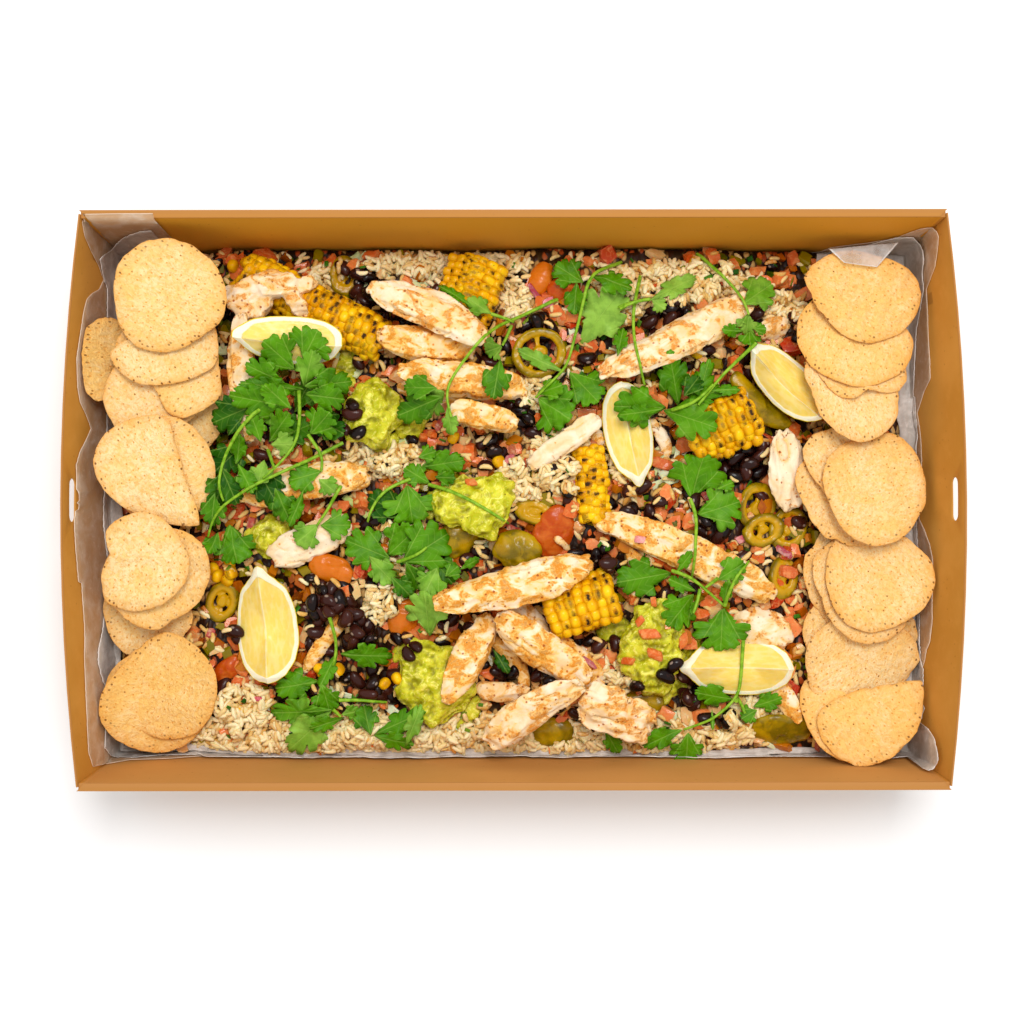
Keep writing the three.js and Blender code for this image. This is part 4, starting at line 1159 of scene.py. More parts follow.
def makeCob(name, core, finish, turn, sizes, char, rng, block=kernelShape, slot="corn"):
    points = pointsOf(core)
    tree = treeOf([core])
    along = np.array([*heading(turn), 0.0])
    across = np.array([-along[1], along[0], 0.0])
    a, b = points @ along, points @ across
    middleA, middleB = (a.min() + a.max()) / 2, (b.min() + b.max()) / 2
    far, close = points[a > middleA, 2].mean(), points[a <= middleA, 2].mean()
    slope = (far - close) / (a[a > middleA].mean() - a[a <= middleA].mean())
    base = points[:, 2].min() + abs(slope) * np.ptp(a) / 2 + 0.003
    width, pitch, tall = sizes
    radius = np.ptp(b) / 2
    rows = max(4, int(round(math.pi * radius / width)))
    steps = int(round(np.ptp(a) / pitch))
    kernels = Heap()
    for row in range(rows):
        angle = math.pi * (row + 0.5) / rows
        drift = rng.uniform(-0.3, 0.3) / steps
        for step in range(steps):
            s = (step + 0.5) / steps - 0.5 + drift + rng.uniform(-0.08, 0.08) / steps
            heart = along * (middleA + s * np.ptp(a)) + across * middleB
            heart[2] = base + slope * s * np.ptp(a)
            out = across * math.cos(angle) + np.array([0, 0, math.sin(angle)])
            start = Vector(heart + out * cob["reach"])
            spot, _, _, _ = tree.ray_cast(start, Vector(-out))
            if not spot:
                continue
            size = rng.uniform(0.9, 1.1)
            shrink = 1 - 0.25 * max(0, abs(s) * 2 - 0.8) / 0.2
            turned = Matrix((np.cross(along, out), along, out)).transposed().to_4x4()
            turned = turned @ Euler([rng.gauss(0, 0.07) for _ in range(3)]).to_matrix().to_4x4()
            scale = Matrix.Diagonal((width * 1.14 * size, pitch * 1.12, tall * size * shrink, 1))
            centre = spot - Vector(out) * (tall * 0.42 + (1 - size) * 0.004)
            dark = rng.random() * 0.5 + (0.45 if rng.random() < char * (0.4 + 0.6 * math.sin(angle)) else 0)
            matrix = Matrix.Translation(centre) @ turned
            shape = (block[0] * np.array([scale[0][0], scale[1][1], scale[2][2]]), block[1])
            kernels.add(shape, matrix, dark)
    kernels.piece(name + "_kernels", finish, slot, 60)
    setPoints(core, points - normalsOf(core) * cob["sink"])
    heartFinish = Finish(name + "_heart", Roughness=0.6)
    heartFinish.wear(heartFinish.mix(heartFinish.noise(3, 3), cob["heart"], cob["burnt"]))
    return finishPiece(core, heartFinish, name if name in nodes else None)


def makeCorn():
    rng = random.Random(4)
    finish = kernelFinish()
    for name, turn in cob["turns"].items():
        core = copyOf(name, name + "_core")
        makeCob(name, core, finish, turn, cob["kernels"][name], cob["char"][name], rng,
                roundedBlock(2, cob["round"][name]))
    return finish


cornFinish = makeCorn()
print("corn done")

# guacamole; deep is painted shade in the hollows of the mash and also the colour of small dark flecks
mash = dict(bright=shade(226, 220, 64), mid=shade(190, 188, 24), deep=shade(124, 114, 0),
            cream=shade(250, 242, 130), voxel=0.0009)


def mashFinish():
    finish = Finish("guacamole", Roughness=0.32, Subsurface_Weight=0.12, Subsurface_Scale=0.003)
    broad = finish.noise(9, 3, 0.6, 0.8)
    fine = finish.noise(2.4, 4, 0.6, 1.0)
    low = finish.attribute("low")
    streaks = finish.noise(5, 4, 0.65, 1.8)
    colour = finish.mix(broad.ramp(0.35, 0.62), mash["bright"], mash["mid"])
    colour = finish.mix(streaks.ramp(0.50, 0.64) * 0.8, colour, mash["cream"])
    colour = finish.mix((1 - streaks).ramp(0.56, 0.7) * 0.6, colour, mash["mid"])
    colour = finish.mix(fine.ramp(0.55, 0.75) * 0.4, colour, mash["cream"])
    # painted shade: darker olive in the hollows, where the surface is pushed in
    colour = finish.mix(low * 0.75, colour, mash["deep"])
    colour = finish.mix(finish.flecks(4.0, 0.08, 0.16, 0.6, 0.7) * 0.8, colour, mash["deep"])
    return finish.wear(colour, 0.25 + fine * 0.25, finish.bump(fine + finish.noise(1.1, 2) * 0.4, 0.5, 0.5))


def mashed(piece, finish, seed, node=None):
    modify(piece, "SUBSURF", levels=1, render_levels=1)
    modify(piece, "REMESH", mode="VOXEL", voxel_size=mash["voxel"])
    points = pointsOf(piece)
    normals = normalsOf(piece)
    own = points + seed * 0.37
    lumps = bumpy(own, 12, seed)
    folds = 1 - 2 * np.abs(bumpy(own, 8, seed + 4, (1, 0.5, 1)))
    grain = bumpy(own, 3.4, seed + 2, (0.6, 1, 1))
    crumbs = bumpy(own, 1.8, seed + 7)
    push = 0.0026 * lumps + 0.0016 * (folds - 0.5) + 0.0014 * grain + 0.0006 * crumbs
    flat = own * np.array([1, 1, 0])
    spread = 0.0085 * bumpy(flat, 13, seed + 11) + 0.0040 * bumpy(flat, 6, seed + 13)
    spread *= 1 - np.abs(normals[:, 2])
    setPoints(piece, points + normals * (push + np.maximum(spread, -0.001))[:, None])
    # the hollows of the mash, for the painted shade
    setNumbers(piece, "low", np.clip(-(0.7 * (folds - 0.5) + 1.5 * grain + crumbs) * 1.2 - 0.1, 0, 1))
    return finishPiece(piece, finish, node)


guacamole = mashFinish()
for number in range(1, 5):
    name = f"guacamole_{number}"
    mashed(copyOf(name, name + "_mash"), guacamole, number, name)
print("guacamole done")

# jalapeno
pepper = dict(olive=shade(182, 150, 0), deep=shade(126, 106, 0), gold=shade(218, 168, 14),
              seed=shade(226, 200, 100), wall=0.0047, voxel=0.0006)


def pepperFinish():
    finish = Finish("jalapeno", Roughness=0.2, Coat_Weight=0.22, Coat_Roughness=0.15,
                    Subsurface_Weight=0.1, Subsurface_Scale=0.003)
    broad = finish.noise(11, 3, 0.55, 0.8)
    fine = finish.noise(2, 3, 0.6, 0.5)
    inner = finish.attribute("inner")
    colour = finish.mix(broad.ramp(0.35, 0.65), pepper["olive"], pepper["deep"])
    colour = finish.mix(fine.ramp(0.55, 0.8) * 0.35, colour, pepper["gold"])
    colour = finish.mix(inner * 0.75, colour, pepper["gold"])
    colour = finish.mix(finish.flecks(3.4, 0.05, 0.1, 0.7, 0.75) * 0.7, colour, pepper["seed"])
    return finish.wear(colour, 0.18 + fine * 0.22, finish.bump(broad + fine * 0.35, 0.7, 0.35))


def makeRing(name, length, width, thick, seed, rng):      # a slice with its webs and seed core
    wall = pepper["wall"]
    half = width / 2
    bpy.ops.object.select_all(action="DESELECT")
    bpy.ops.mesh.primitive_torus_add(major_segments=48, minor_segments=16,
                                     major_radius=half - wall / 2, minor_radius=wall / 2)
    piece = bpy.context.object
    piece.name = name
    editing(piece)
    bpy.ops.transform.resize(value=(1, 1, thick / wall), center_override=(0, 0, 0))
    core = half * rng.uniform(0.26, 0.36)
    bpy.ops.mesh.primitive_uv_sphere_add(segments=16, ring_count=10, radius=core,
                                         location=(rng.uniform(-0.1, 0.1) * half, 0, -thick * 0.12))
    first = rng.uniform(0, 2)
    for web in range(rng.choice((2, 3, 3))):
        angle = first + web * rng.uniform(1.9, 2.5)
        spot = (math.cos(angle) * half * 0.5, math.sin(angle) * half * 0.5, -thick * 0.1)
        bpy.ops.mesh.primitive_cube_add(size=1, location=spot, rotation=(0, 0, angle),
                                        scale=(half * 0.75, 0.0024, thick * 0.5))
    bpy.ops.mesh.select_all(action="SELECT")
    bpy.ops.transform.resize(value=(length / width, 1, 1), center_override=(0, 0, 0))
    edited()
    modify(piece, "REMESH", mode="VOXEL", voxel_size=pepper["voxel"])
    modify(piece, "SMOOTH", factor=0.6, iterations=3)
    points = pointsOf(piece)
    reach = np.hypot(points[:, 0] / (length / 2), points[:, 1] / half)
    tight = np.clip(points[:, 2], -thick * 0.42, thick * 0.42)
    points[:, 2] = tight + 0.15 * (points[:, 2] - tight)
    points += normalsOf(piece) * (0.0005 * bumpy(points, 5, seed) + 0.00025 * bumpy(points, 2, seed))[:, None]
    points[:, 2] += 0.0012 * bumpy(points * np.array([1, 1, 0]), 14, seed)
    setPoints(piece, points)
    setNumbers(piece, "inner", np.clip((0.86 - reach) / 0.16, 0, 1))
    return piece


def makeDome(piece, finish, seed, node=None, angle=None):      # an end or a side of a fruit
    modify(piece, "SUBSURF", levels=3, render_levels=3)
    points = pointsOf(piece)
    normals = normalsOf(piece)
    push = 0.0011 * bumpy(points, 13, seed) + 0.0004 * bumpy(points, 4, seed + 3)
    dents = np.clip(bumpy(points, 7, seed + 6) - 0.25, 0, 1)
    points += normals * (push - 0.003 * dents)[:, None]
    setPoints(piece, points)
    setNumbers(piece, "inner", np.clip(bumpy(points, 10, seed + 2) * 1.4 - 0.2, 0, 1))
    return finishPiece(piece, finish, node, angle)


def placed(piece, matrix):
    turned = np.array(matrix.to_3x3())
    setPoints(piece, pointsOf(piece) @ turned.T + np.array(matrix.translation))


peppers = pepperFinish()
pepperDraw = random.Random(12)
makeDome(copyOf("jalapeno_end", "jalapeno_end_skin"), peppers, 2, "jalapeno_end")
makeDome(copyOf("jalapeno_strip", "jalapeno_strip_skin"), peppers, 5, "jalapeno_strip")
ringPoints = pointsOf(nodes["jalapeno_ring"])
bigRing = makeRing("jalapeno_ring_slice", 0.0305, 0.0275, 0.0055, 1, pepperDraw)
ringMiddle = (ringPoints.min(0) + ringPoints.max(0)) / 2
placed(bigRing, laid(*ringMiddle, Vector((0.05, -0.08, 1)), 0.4))
finishPiece(bigRing, peppers, "jalapeno_ring")
print("jalapeno done")


# the height of everything that already lies there, on a grid
class Ground:
    def __init__(self, tree, step=0.001):
        self.step = step
        self.corner = np.array([-0.236, -0.152])
        self.size = (473, 305)
        self.steepest = 0.7
        self.z = np.zeros(self.size)
        for i in range(self.size[0]):
            for j in range(self.size[1]):
                self.z[i, j] = self.hit(tree, i, j) or 0

    def hit(self, tree, i, j):
        return topOf(tree, self.corner[0] + i * self.step, self.corner[1] + j * self.step)[0]

    def window(self, x, y, reach):
        i = int(round((x - self.corner[0]) / self.step))
        j = int(round((y - self.corner[1]) / self.step))
        n = max(1, int(math.ceil(reach / self.step)))
        left, front = max(i - n, 0), max(j - n, 0)
        box = self.z[left:i + n + 1, front:j + n + 1]
        us = (np.arange(left, left + box.shape[0]) - i)[:, None] * self.step
        vs = (np.arange(front, front + box.shape[1]) - j)[None, :] * self.step
        return box, us, vs

    def level(self, x, y, reach, share=0.6):      # how high a thing of this size comes to lie
        box, us, vs = self.window(x, y, reach)
        heights = box[(us * us + vs * vs) <= reach * reach * 1.01]
        return float(np.quantile(heights, share))

    def slope(self, x, y, reach):
        box, us, vs = self.window(x, y, reach)
        if min(box.shape) < 3:
            return Vector((0, 0, 1))
        east = (box[-1].mean() - box[0].mean()) / (box.shape[0] * self.step)
        north = (box[:, -1].mean() - box[:, 0].mean()) / (box.shape[1] * self.step)
        return Vector((*np.clip((-east, -north), -self.steepest, self.steepest), 1)).normalized()

    def cover(self, x, y, reach, top, round=0.5):         # something now lies here
        box, us, vs = self.window(x, y, reach)
        share = (us * us + vs * vs) / (reach * reach)
        dome = top - round * reach * share
        np.maximum(box, np.where(share <= 1, dome, -1), out=box)

    def coverPiece(self, piece):
        points = pointsOf(piece)
        low, far = points.min(0), points.max(0)
        tree = treeOf([piece])
        i0, j0 = [max(0, int((low[k] - self.corner[k]) / self.step)) for k in (0, 1)]
        i1, j1 = [int((far[k] - self.corner[k]) / self.step) + 2 for k in (0, 1)]
        for i in range(i0, min(i1, self.size[0])):
            for j in range(j0, min(j1, self.size[1])):
                top = self.hit(tree, i, j)
                if top is not None:
                    self.z[i, j] = max(self.z[i, j], top)

    def coverPoints(self, piece):
        points = pointsOf(piece)
        spots = np.rint((points[:, :2] - self.corner) / self.step).astype(int)
        spots = np.clip(spots, 0, np.array(self.size) - 1)
        np.maximum.at(self.z, (spots[:, 0], spots[:, 1]), points[:, 2])

    def at(self, x, y):
        u = min(max((x - self.corner[0]) / self.step, 0), self.size[0] - 1.001)
        v = min(max((y - self.corner[1]) / self.step, 0), self.size[1] - 1.001)
        i, j = int(u), int(v)
        u, v = u - i, v - j
        z = self.z
        return (z[i, j] * (1 - u) * (1 - v) + z[i + 1, j] * u * (1 - v)
                + z[i, j + 1] * (1 - u) * v + z[i + 1, j + 1] * u * v)


ground = Ground(bedTree)
bareBed = ground.z.copy()
print("ground done")

# more lumps of the same foods, too small to be named parts
lumps = dict(
    rings=[(-94, 126, 90, 23, 17), (12, -6, -12, 25, 14), (134, -3, 80, 27, 23), (151, -15, 60, 26, 21),
           (148, -42, 80, 25, 17), (-161, -55, 70, 24, 18), (137, -16, 20, 24, 18)],
    ends=[(-29, -17, 60, 30, 22, 10), (70, -112, 0, 26, 16, 8), (21, -127, 0, 24, 18, 8),
          (147, -126, 0, 33, 20, 9), (-145, -50, 66, 30, 9, 5)],
    tomatoes=[(-100, -37, -20, 26, 17, 9, 1), (22, -17, 60, 30, 24, 9, 0), (-61, -64, 80, 21, 19, 9, 1),
              (15, 124, 60, 18, 14, 7, 1), (-72, -28, 30, 12, 10, 6, 1), (28, 118, 20, 19, 14, 8, 0),
              (-158, -92, 40, 18, 12, 7, 0)],
    mash=[(-133, -20, 30, 27, 24, 9), (-60, -84, 50, 18, 14, 7), (88, -103, 20, 20, 12, 6),
          (-57, 42, 20, 22, 15, 8), (-35, 14, 20, 14, 10, 7), (-94, 68, 70, 24, 14, 7),
          (-86, 82, 20, 16, 11, 6), (-46, -3, 60, 20, 13, 7), (-26, -115, 40, 20, 14, 6),
          (54, -68, 80, 18, 12, 7), (96, -83, 70, 18, 12, 7), (-72, 30, 0, 18, 11, 6)],
    corn=(42, 9, 96, 40, 19, 12))
tomatoSkin = dict(red=shade(192, 80, 10), orange=shade(212, 118, 14), flesh=shade(224, 132, 50))


def tomatoFinish(name, colour):
    finish = Finish(name, Roughness=0.3, Coat_Weight=0.12, Subsurface_Weight=0.15, Subsurface_Scale=0.004)
    broad = finish.noise(8, 3, 0.6, 0.6)
    fine = finish.noise(2, 3, 0.6, 0, finish.place((0.4, 1, 1)))
    tint = finish.mix(broad.ramp(0.35, 0.7) * 0.6, colour, tomatoSkin["flesh"])
    return finish.wear(tint, 0.15 + fine * 0.25, finish.bump(fine + broad, 0.4, 0.4))


def relaid(nodeName, pieceName, x, y, turn, length, width, height, sink=0.002):
    piece = copyOf(nodeName, pieceName)
    points = pointsOf(piece)
    lie = Lie(points)
    a, b = lie.local(points)
    x, y = x * mm, y * mm
    c, s = heading(turn)
    a, b = a / lie.length * length * mm, b / lie.width * width * mm
    z = (points[:, 2] - points[:, 2].min()) / np.ptp(points[:, 2]) * height * mm
    reach = min(length, width) * mm / 2
    level = ground.level(x, y, reach, 0.6) - sink
    lean = ground.slope(x, y, max(length, width) * mm / 2)
    px, py = a * c - b * s, a * s + b * c
    z = level + z - (lean.x * px + lean.y * py) / lean.z * 0.7
    setPoints(piece, np.column_stack([x + px, y + py, z]))
    return piece


extras = []


def addExtra(piece):
    ground.coverPiece(piece)
    extras.append(piece)


for count, (x, y, turn, length, width) in enumerate(lumps["rings"]):
    cutRing = makeRing(f"jalapeno_slice_{count + 1}", length * mm, width * mm, 0.0046, count + 20, pepperDraw)
    level = ground.level(x * mm, y * mm, 0.009, 0.7) + 0.0012
    tip = (pepperDraw.uniform(-0.25, 0.25), pepperDraw.uniform(-0.25, 0.25))
    placed(cutRing, laid(x * mm, y * mm, level, ground.slope(x * mm, y * mm, 0.01), math.radians(turn), tip))
    finishPiece(cutRing, peppers)
    addExtra(cutRing)
for count, (x, y, turn, length, width, height) in enumerate(lumps["ends"]):
    end = relaid("jalapeno_end", f"jalapeno_piece_{count + 1}", x, y, turn, length, width, height)
    makeDome(end, peppers, count + 30)
    addExtra(end)
skins = [tomatoFinish("tomato_red", tomatoSkin["red"]), tomatoFinish("tomato_orange", tomatoSkin["orange"])]
for count, (x, y, turn, length, width, height, kind) in enumerate(lumps["tomatoes"]):
    half = relaid("jalapeno_end", f"tomato_half_{count + 1}", x, y, turn, length, width, height)
    makeDome(half, skins[kind], count + 40)
    addExtra(half)
for count, (x, y, turn, length, width, height) in enumerate(lumps["mash"]):
    dab = relaid("guacamole_3", f"guacamole_dab_{count + 1}", x, y, turn, length, width, height)
    mashed(dab, guacamole, count + 50)
    addExtra(dab)
smallCob = relaid("corn_4", "corn_5_core", *lumps["corn"])
extras.append(makeCob("corn_5", smallCob, cornFinish, lumps["corn"][2], (0.0048, 0.0046, 0.005), 0.6,
                      random.Random(9)))
ground.coverPiece(smallCob)
print("lumps done")

# loose chicken strips and shreds
strips = [(143, 95, 20, 20, 12, 8, 0), (-2, -89, -58, 41, 9, 6, 6), (-7, -103, 0, 32, 10, 7, -3),
          (66, -39, -85, 29, 9, 7, 5), (137, -71, -14, 35, 22, 9, 0), (-102, -76, 52, 47, 8, 6, 2),
          (80, 33, -60, 26, 7, 5, 6), (148, -107, -60, 34, 11, 6, 0), (-147, 44, -75, 24, 14, 8, 3),
          (-44, 60, -10, 40, 13, 7, 0), (9, -66, -50, 30, 14, 8, 0), (31, -90, -35, 46, 20, 9, 4),
          (27, -24, -45, 14, 4, 3, 1), (46, 34, -50, 12, 8, 4, 2), (74, 43, -20, 16, 5, 4, 3)]


def makeStrips():
    block = roundedBlock(9, 0.25)
    for seed, (x, y, turn, length, width, thick, curve) in enumerate(strips):
        points = stripPoints(block, turn, length, width, thick, curve)
        c, sn = heading(turn)
        levels = [ground.level(x * mm + k * c * length * mm * 0.4, y * mm + k * sn * length * mm * 0.4,
                               width * mm * 0.35, 0.7) for k in (-1, 0, 1)]
        along = (points[:, 0] * c + points[:, 1] * sn) / (length * mm)
        rest = np.interp(along, (-0.4, 0, 0.4), (levels[0], max(levels[1], (levels[0] + levels[2]) / 2),
                                                 levels[2]))
        pz = points[:, 2] + rest + thick * mm * 0.42
        corners = np.column_stack([points[:, 0] + x * mm, points[:, 1] + y * mm, pz])
        strip = newPiece(f"chicken_strip_{seed + 1}", corners.tolist(), block[1])
        tearMeat(strip, seed + 60, 0.0009, 0.0005)
        finishPiece(strip, meatFinishes[1 + seed % 2])
        addExtra(strip)


makeStrips()
print("strips done")

# loose grains, dice, beans and leaves of cabbage
loose = dict(grains=3050, diceStep=5.6, beanStep=7.6, shreds=60, flakes=190,
             rice=(0.0036, 0.00135, 0.00125), bean=(0.0052, 0.0036, 0.0031),
             west=-0.2155, east=0.2120, south=-0.1380)


def looseFinish(name, first, second, third, rough=0.35, glow=0.1, coat=0.0, spots=None):
    finish = Finish(name, Roughness=rough, Subsurface_Weight=glow, Subsurface_Scale=0.002, Coat_Weight=coat)
    tone = finish.attribute("tone")
    colour = finish.mix(tone.ramp(0.0, 0.6), first, second)
    colour = finish.mix(tone.ramp(0.6, 1.0), colour, third)
    fine = finish.noise(1.6, 3)
    colour = finish.mix(fine.ramp(0.45, 0.8) * 0.3, colour, spots or first)
    broad = finish.noise(4.5, 3, 0.6, 0.5)
    colour = finish.mix(broad.ramp(0.5, 0.66) * 0.4, colour, spots or first)
    return finish.wear(colour, rough - 0.1 + fine * 0.25, finish.bump(fine, 0.25, 0.4))


tomatoFlesh = looseFinish("tomato_dice", shade(220, 108, 40), shade(232, 140, 76), shade(194, 58, 12),
                          0.22, 0.3, 0.2, shade(246, 184, 120))
redOnion = looseFinish("red_onion", shade(206, 60, 96), shade(230, 150, 150), shade(164, 14, 66), 0.22, 0.3,
                       0.2, shade(244, 206, 190))
# chunks of tomato that stand out: middle and turn, then length and width in mm, and how red
chunks = dict(
    onBed=[(-143, 127, -30, 8, 5, 0.3), (-113, 127, 0, 7, 5, 0.3), (-108, 132, 0, 5, 4, 0.2),
            (-103, 97, -15, 12, 7, 0.1), (-97, 103, 30, 4, 3, 0.4), (-82, 82, 20, 7, 6, 0.2),
            (-86, 86, 0, 5, 4, 0.5), (-68, 73, -20, 7, 5, 0.8), (-75, 66, -50, 8, 5, 0.2),
            (-84, 63, 10, 8, 5, 0.1), (-87, 57, 30, 10, 4, 0.1), (-46, 37, 0, 7, 5, 0.9),
            (-39, 33, -10, 7, 4, 0.7), (-71, 14, 0, 5, 5, 0.4), (-64, 15, 0, 7, 4, 0.3),
            (-154, -4, -15, 11, 8, 0.9), (-98, 29, 0, 8, 5, 0.2), (-79, 20, -40, 8, 5, 0.2),
            (0, 29, 0, 11, 7, 0.2), (-13, 23, 30, 7, 5, 0.5), (-3, 7, -20, 11, 8, 0.3),
            (13, 2, 0, 7, 5, 0.3), (47, -18, -60, 7, 5, 0.8), (59, -25, 0, 8, 5, 0.7),
            (62, 9, -20, 12, 5, 0.4), (67, 1, -25, 13, 4, 0.6), (81, 4, 0, 7, 5, 0.8),
            (73, 7, 40, 8, 3, 0.5), (81, -8, 20, 8, 5, 0.4), (28, -79, -20, 9, 5, 0.4),
            (46, -84, -15, 15, 6, 0.5), (50, -91, -25, 12, 4, 0.9), (45, -98, 10, 7, 5, 0.7),
            (55, -101, 30, 8, 5, 0.5), (-38, -72, 0, 9, 5, 0.6), (106, 112, 30, 14, 11, 0.2),
            (79, 118, 0, 7, 5, 0.9), (89, 107, 60, 7, 4, 0.4), (81, 21, -25, 10, 5, 0.8),
            (103, 24, 15, 11, 7, 0.5), (137, 36, -20, 9, 5, 0.9), (154, 124, 0, 8, 5, 0.5),
            (149, 120, 0, 7, 5, 0.4), (-147, -98, 10, 9, 5, 0.5), (-151, -115, 90, 11, 8, 0.1),
            (-138, -106, -40, 8, 7, 0.4), (-155, -127, 30, 11, 8, 0.5), (-142, -131, 0, 13, 5, 0.6),
            (-136, -120, 0, 5, 5, 0.3), (-132, -133, 0, 5, 5, 0.6), (-154, -107, 0, 7, 5, 0.9),
            (-150, -90, -40, 8, 7, 0.4), (-141, -102, -20, 9, 5, 0.3), (-152, -86, 0, 5, 5, 0.7),
            (-135, -105, 0, 5, 4, 0.6), (103, -120, 0, 12, 9, 0.5)],
    redOnion=[(12, 115, -50, 9, 3, 0.9), (19, 109, 20, 6, 4, 0.3), (41, -88, -25, 8, 3, 0.8),
            (-2, 23, 0, 6, 4, 0.3), (33, 10, 5, 9, 2, 0.4), (125, -21, 20, 6, 4, 0.3),
            (148, -28, -30, 8, 3, 0.9), (68, -21, 0, 5, 4, 0.6), (-140, -108, 20, 5, 3, 0.2)],
    onMash=[(76, -55, 10, 4, 4, 0.3), (73, -72, 5, 9, 7, 0.2), (76, -83, -20, 9, 6, 0.2),
            (92, -76, 30, 6, 5, 0.3), (62, -87, -10, 7, 5, 0.1), (68, -65, 40, 5, 4, 0.2),
            (83, -68, 0, 4, 3, 0.4), (-23, 10, 20, 5, 4, 0.3), (-28, 15, 60, 4, 4, 0.4)])

beanSpots = dict(
    onTop=[(-88, 48), (-93, 40), (-85, 39), (-76, 86), (-85, 76), (-56, 35), (-64, 20), (11, 37), (2, 20),
           (30, 19), (25, 15), (19, 16), (5, 53), (-5, 86), (13, 98), (21, 96), (53, -1), (62, -6),
           (74, -6), (44, -30), (51, -34), (87, -91), (-57, -76), (63, -98), (72, -101), (15, -66),
           (20, -74), (52, -74), (73, 115), (88, 111), (75, 98), (86, 99), (95, 102), (117, 17), (129, 28),
           (135, 25), (129, 20), (136, 16), (90, -103), (95, -108), (99, -111), (117, -119), (-157, -114),
           (-163, -118), (-77, -99), (-70, -102), (-77, -75), (-64, -75), (-106, -32), (-100, -40),
           (-104, -48), (-94, -53), (-109, -55), (-100, -60), (-115, -60), (-91, -64), (-34, -65),
           (-24, -70)],
    onMash=[(-87, 47), (-92, 39), (-84, 37), (87, -89), (82, -95), (-87, 52), (-53, -79), (-57, -83),
            (67, -101)])


def sphereShape(segments, rings, size, bow=0.0, blunt=0.3):
    bpy.ops.object.select_all(action="DESELECT")
    bpy.ops.mesh.primitive_uv_sphere_add(segments=segments, ring_count=rings, radius=1,
                                         rotation=(0, 1.5708, 0))
    piece = bpy.context.object
    bpy.ops.object.transform_apply(location=False, rotation=True, scale=False)
    points, faces = shapeOf(piece)
    girth = np.hypot(points[:, 1:2], points[:, 2:3])
    points[:, 1:] *= np.maximum(girth, 0.05) ** -blunt
    points = points * np.array(size)
    points[:, 1] += bow * ((points[:, 0] / size[0]) ** 2 - 0.35)
    return points, faces


def diceShape(rng, softness, cuts=1):             # a chunk cut by hand: a box with uneven, worn corners
    points, faces = roundedBlock(cuts, softness)
    corner = np.array([rng.uniform(0.7, 1.25) for _ in range(3)])
    skew = np.array([[1, rng.uniform(-0.3, 0.3), rng.uniform(-0.2, 0.2)],
                     [rng.uniform(-0.25, 0.25), 1, rng.uniform(-0.2, 0.2)], [0, 0, 1]])
    uneven = np.array([[rng.uniform(-0.12, 0.12) for _ in range(3)] for _ in points]) / cuts
    return (points + uneven) @ skew.T * corner * 1.1, faces


def ribbonShape(columns, length, width):
    points = [((i / columns - 0.5) * length, (j / 3 - 0.5) * width, 0.0)
              for i in range(columns + 1) for j in range(4)]
    return np.array(points), sheetFaces(columns + 1, 4)


def openAt(x, y, top):                            # whether a thing so high fits under what lies above
    floor = ground.at(x, y)
    spot, normal, _, _ = coverTree.ray_cast(Vector((x, y, floor + 0.0005)), Vector((0, 0, 1)), 0.2)
    return spot is None or (normal.z < 0 and spot.z > floor + top)


def insideBed(x, y, edge=0.0):
    if not (loose["west"] < x < loose["east"] and y > loose["south"]):
        return False
    return topOf(bedTree, x + math.copysign(edge, x), y + math.copysign(edge, y))[0] is not None


def makeShreds(rng):
    finish = looseFinish("cabbage", shade(238, 236, 200), shade(222, 226, 170), shade(196, 212, 120),
                         0.3, 0.2)
    heap = Heap()
    for _ in range(loose["shreds"]):
        if rng.random() < 0.75:
            u, v, a, b = rng.choice(regions["cabbage"])
            x, y = rng.gauss(u, a * 0.6), rng.gauss(v, b * 0.6)
        else:
            x, y = rng.uniform(-175, 175), rng.uniform(-135, 135)
        x, y = x * mm, y * mm
        if not insideBed(x, y, 0.006):
            continue
        shape = ribbonShape(16, rng.uniform(0.016, 0.036), rng.uniform(0.0022, 0.006))
        turn, phase = rng.uniform(0, fullTurn), rng.uniform(0, fullTurn)
        bow = rng.uniform(-14, 14)

        def drape(points, shape=shape, phase=phase, bow=bow):
            s = shape[0][:, 0]
            side = shape[0][:, 1]
            points = points.copy()
            for k, point in enumerate(points):
                point[:2] += np.array([-math.sin(turn), math.cos(turn)]) * bow * s[k] ** 2
                lift = 0.0012 + 0.0014 * math.sin(s[k] * 420 + phase) + 0.25 * abs(side[k])
                point[2] = ground.level(point[0], point[1], 0.0015, 0.8) + max(lift, 0.0004)
            return points
        heap.add(shape, Matrix.Translation((x, y, 0)) @ Matrix.Rotation(turn, 4, "Z"), rng.random(), drape)
    piece = heap.piece("cabbage_shreds", finish, "salad")
    modify(piece, "SOLIDIFY", thickness=0.0005, offset=0)
    ground.coverPiece(piece)


def makeChunks(rng, places, name, high, finish=tomatoFlesh):
    heap = Heap()
    for x, y, turn, length, width, red in places:
        x, y, length, width = x * mm, y * mm, length * mm, width * mm
        tall = min(0.6 * width, high)
        chunk = diceShape(rng, rng.uniform(0.3, 0.55), 3)
        shape = (chunk[0] * np.array([length, width, tall]) * 0.92, chunk[1])
        level = ground.level(x, y, width * 0.5, 0.6)
        heap.add(shape, laid(x, y, level + tall * 0.3, ground.slope(x, y, width), math.radians(turn),
                             (rng.gauss(0, 0.12), rng.gauss(0, 0.12))), red)
        ground.cover(x, y, width * 0.5, level + tall * 0.8, 0.3)
    heap.piece(name, finish, "salad", 50)


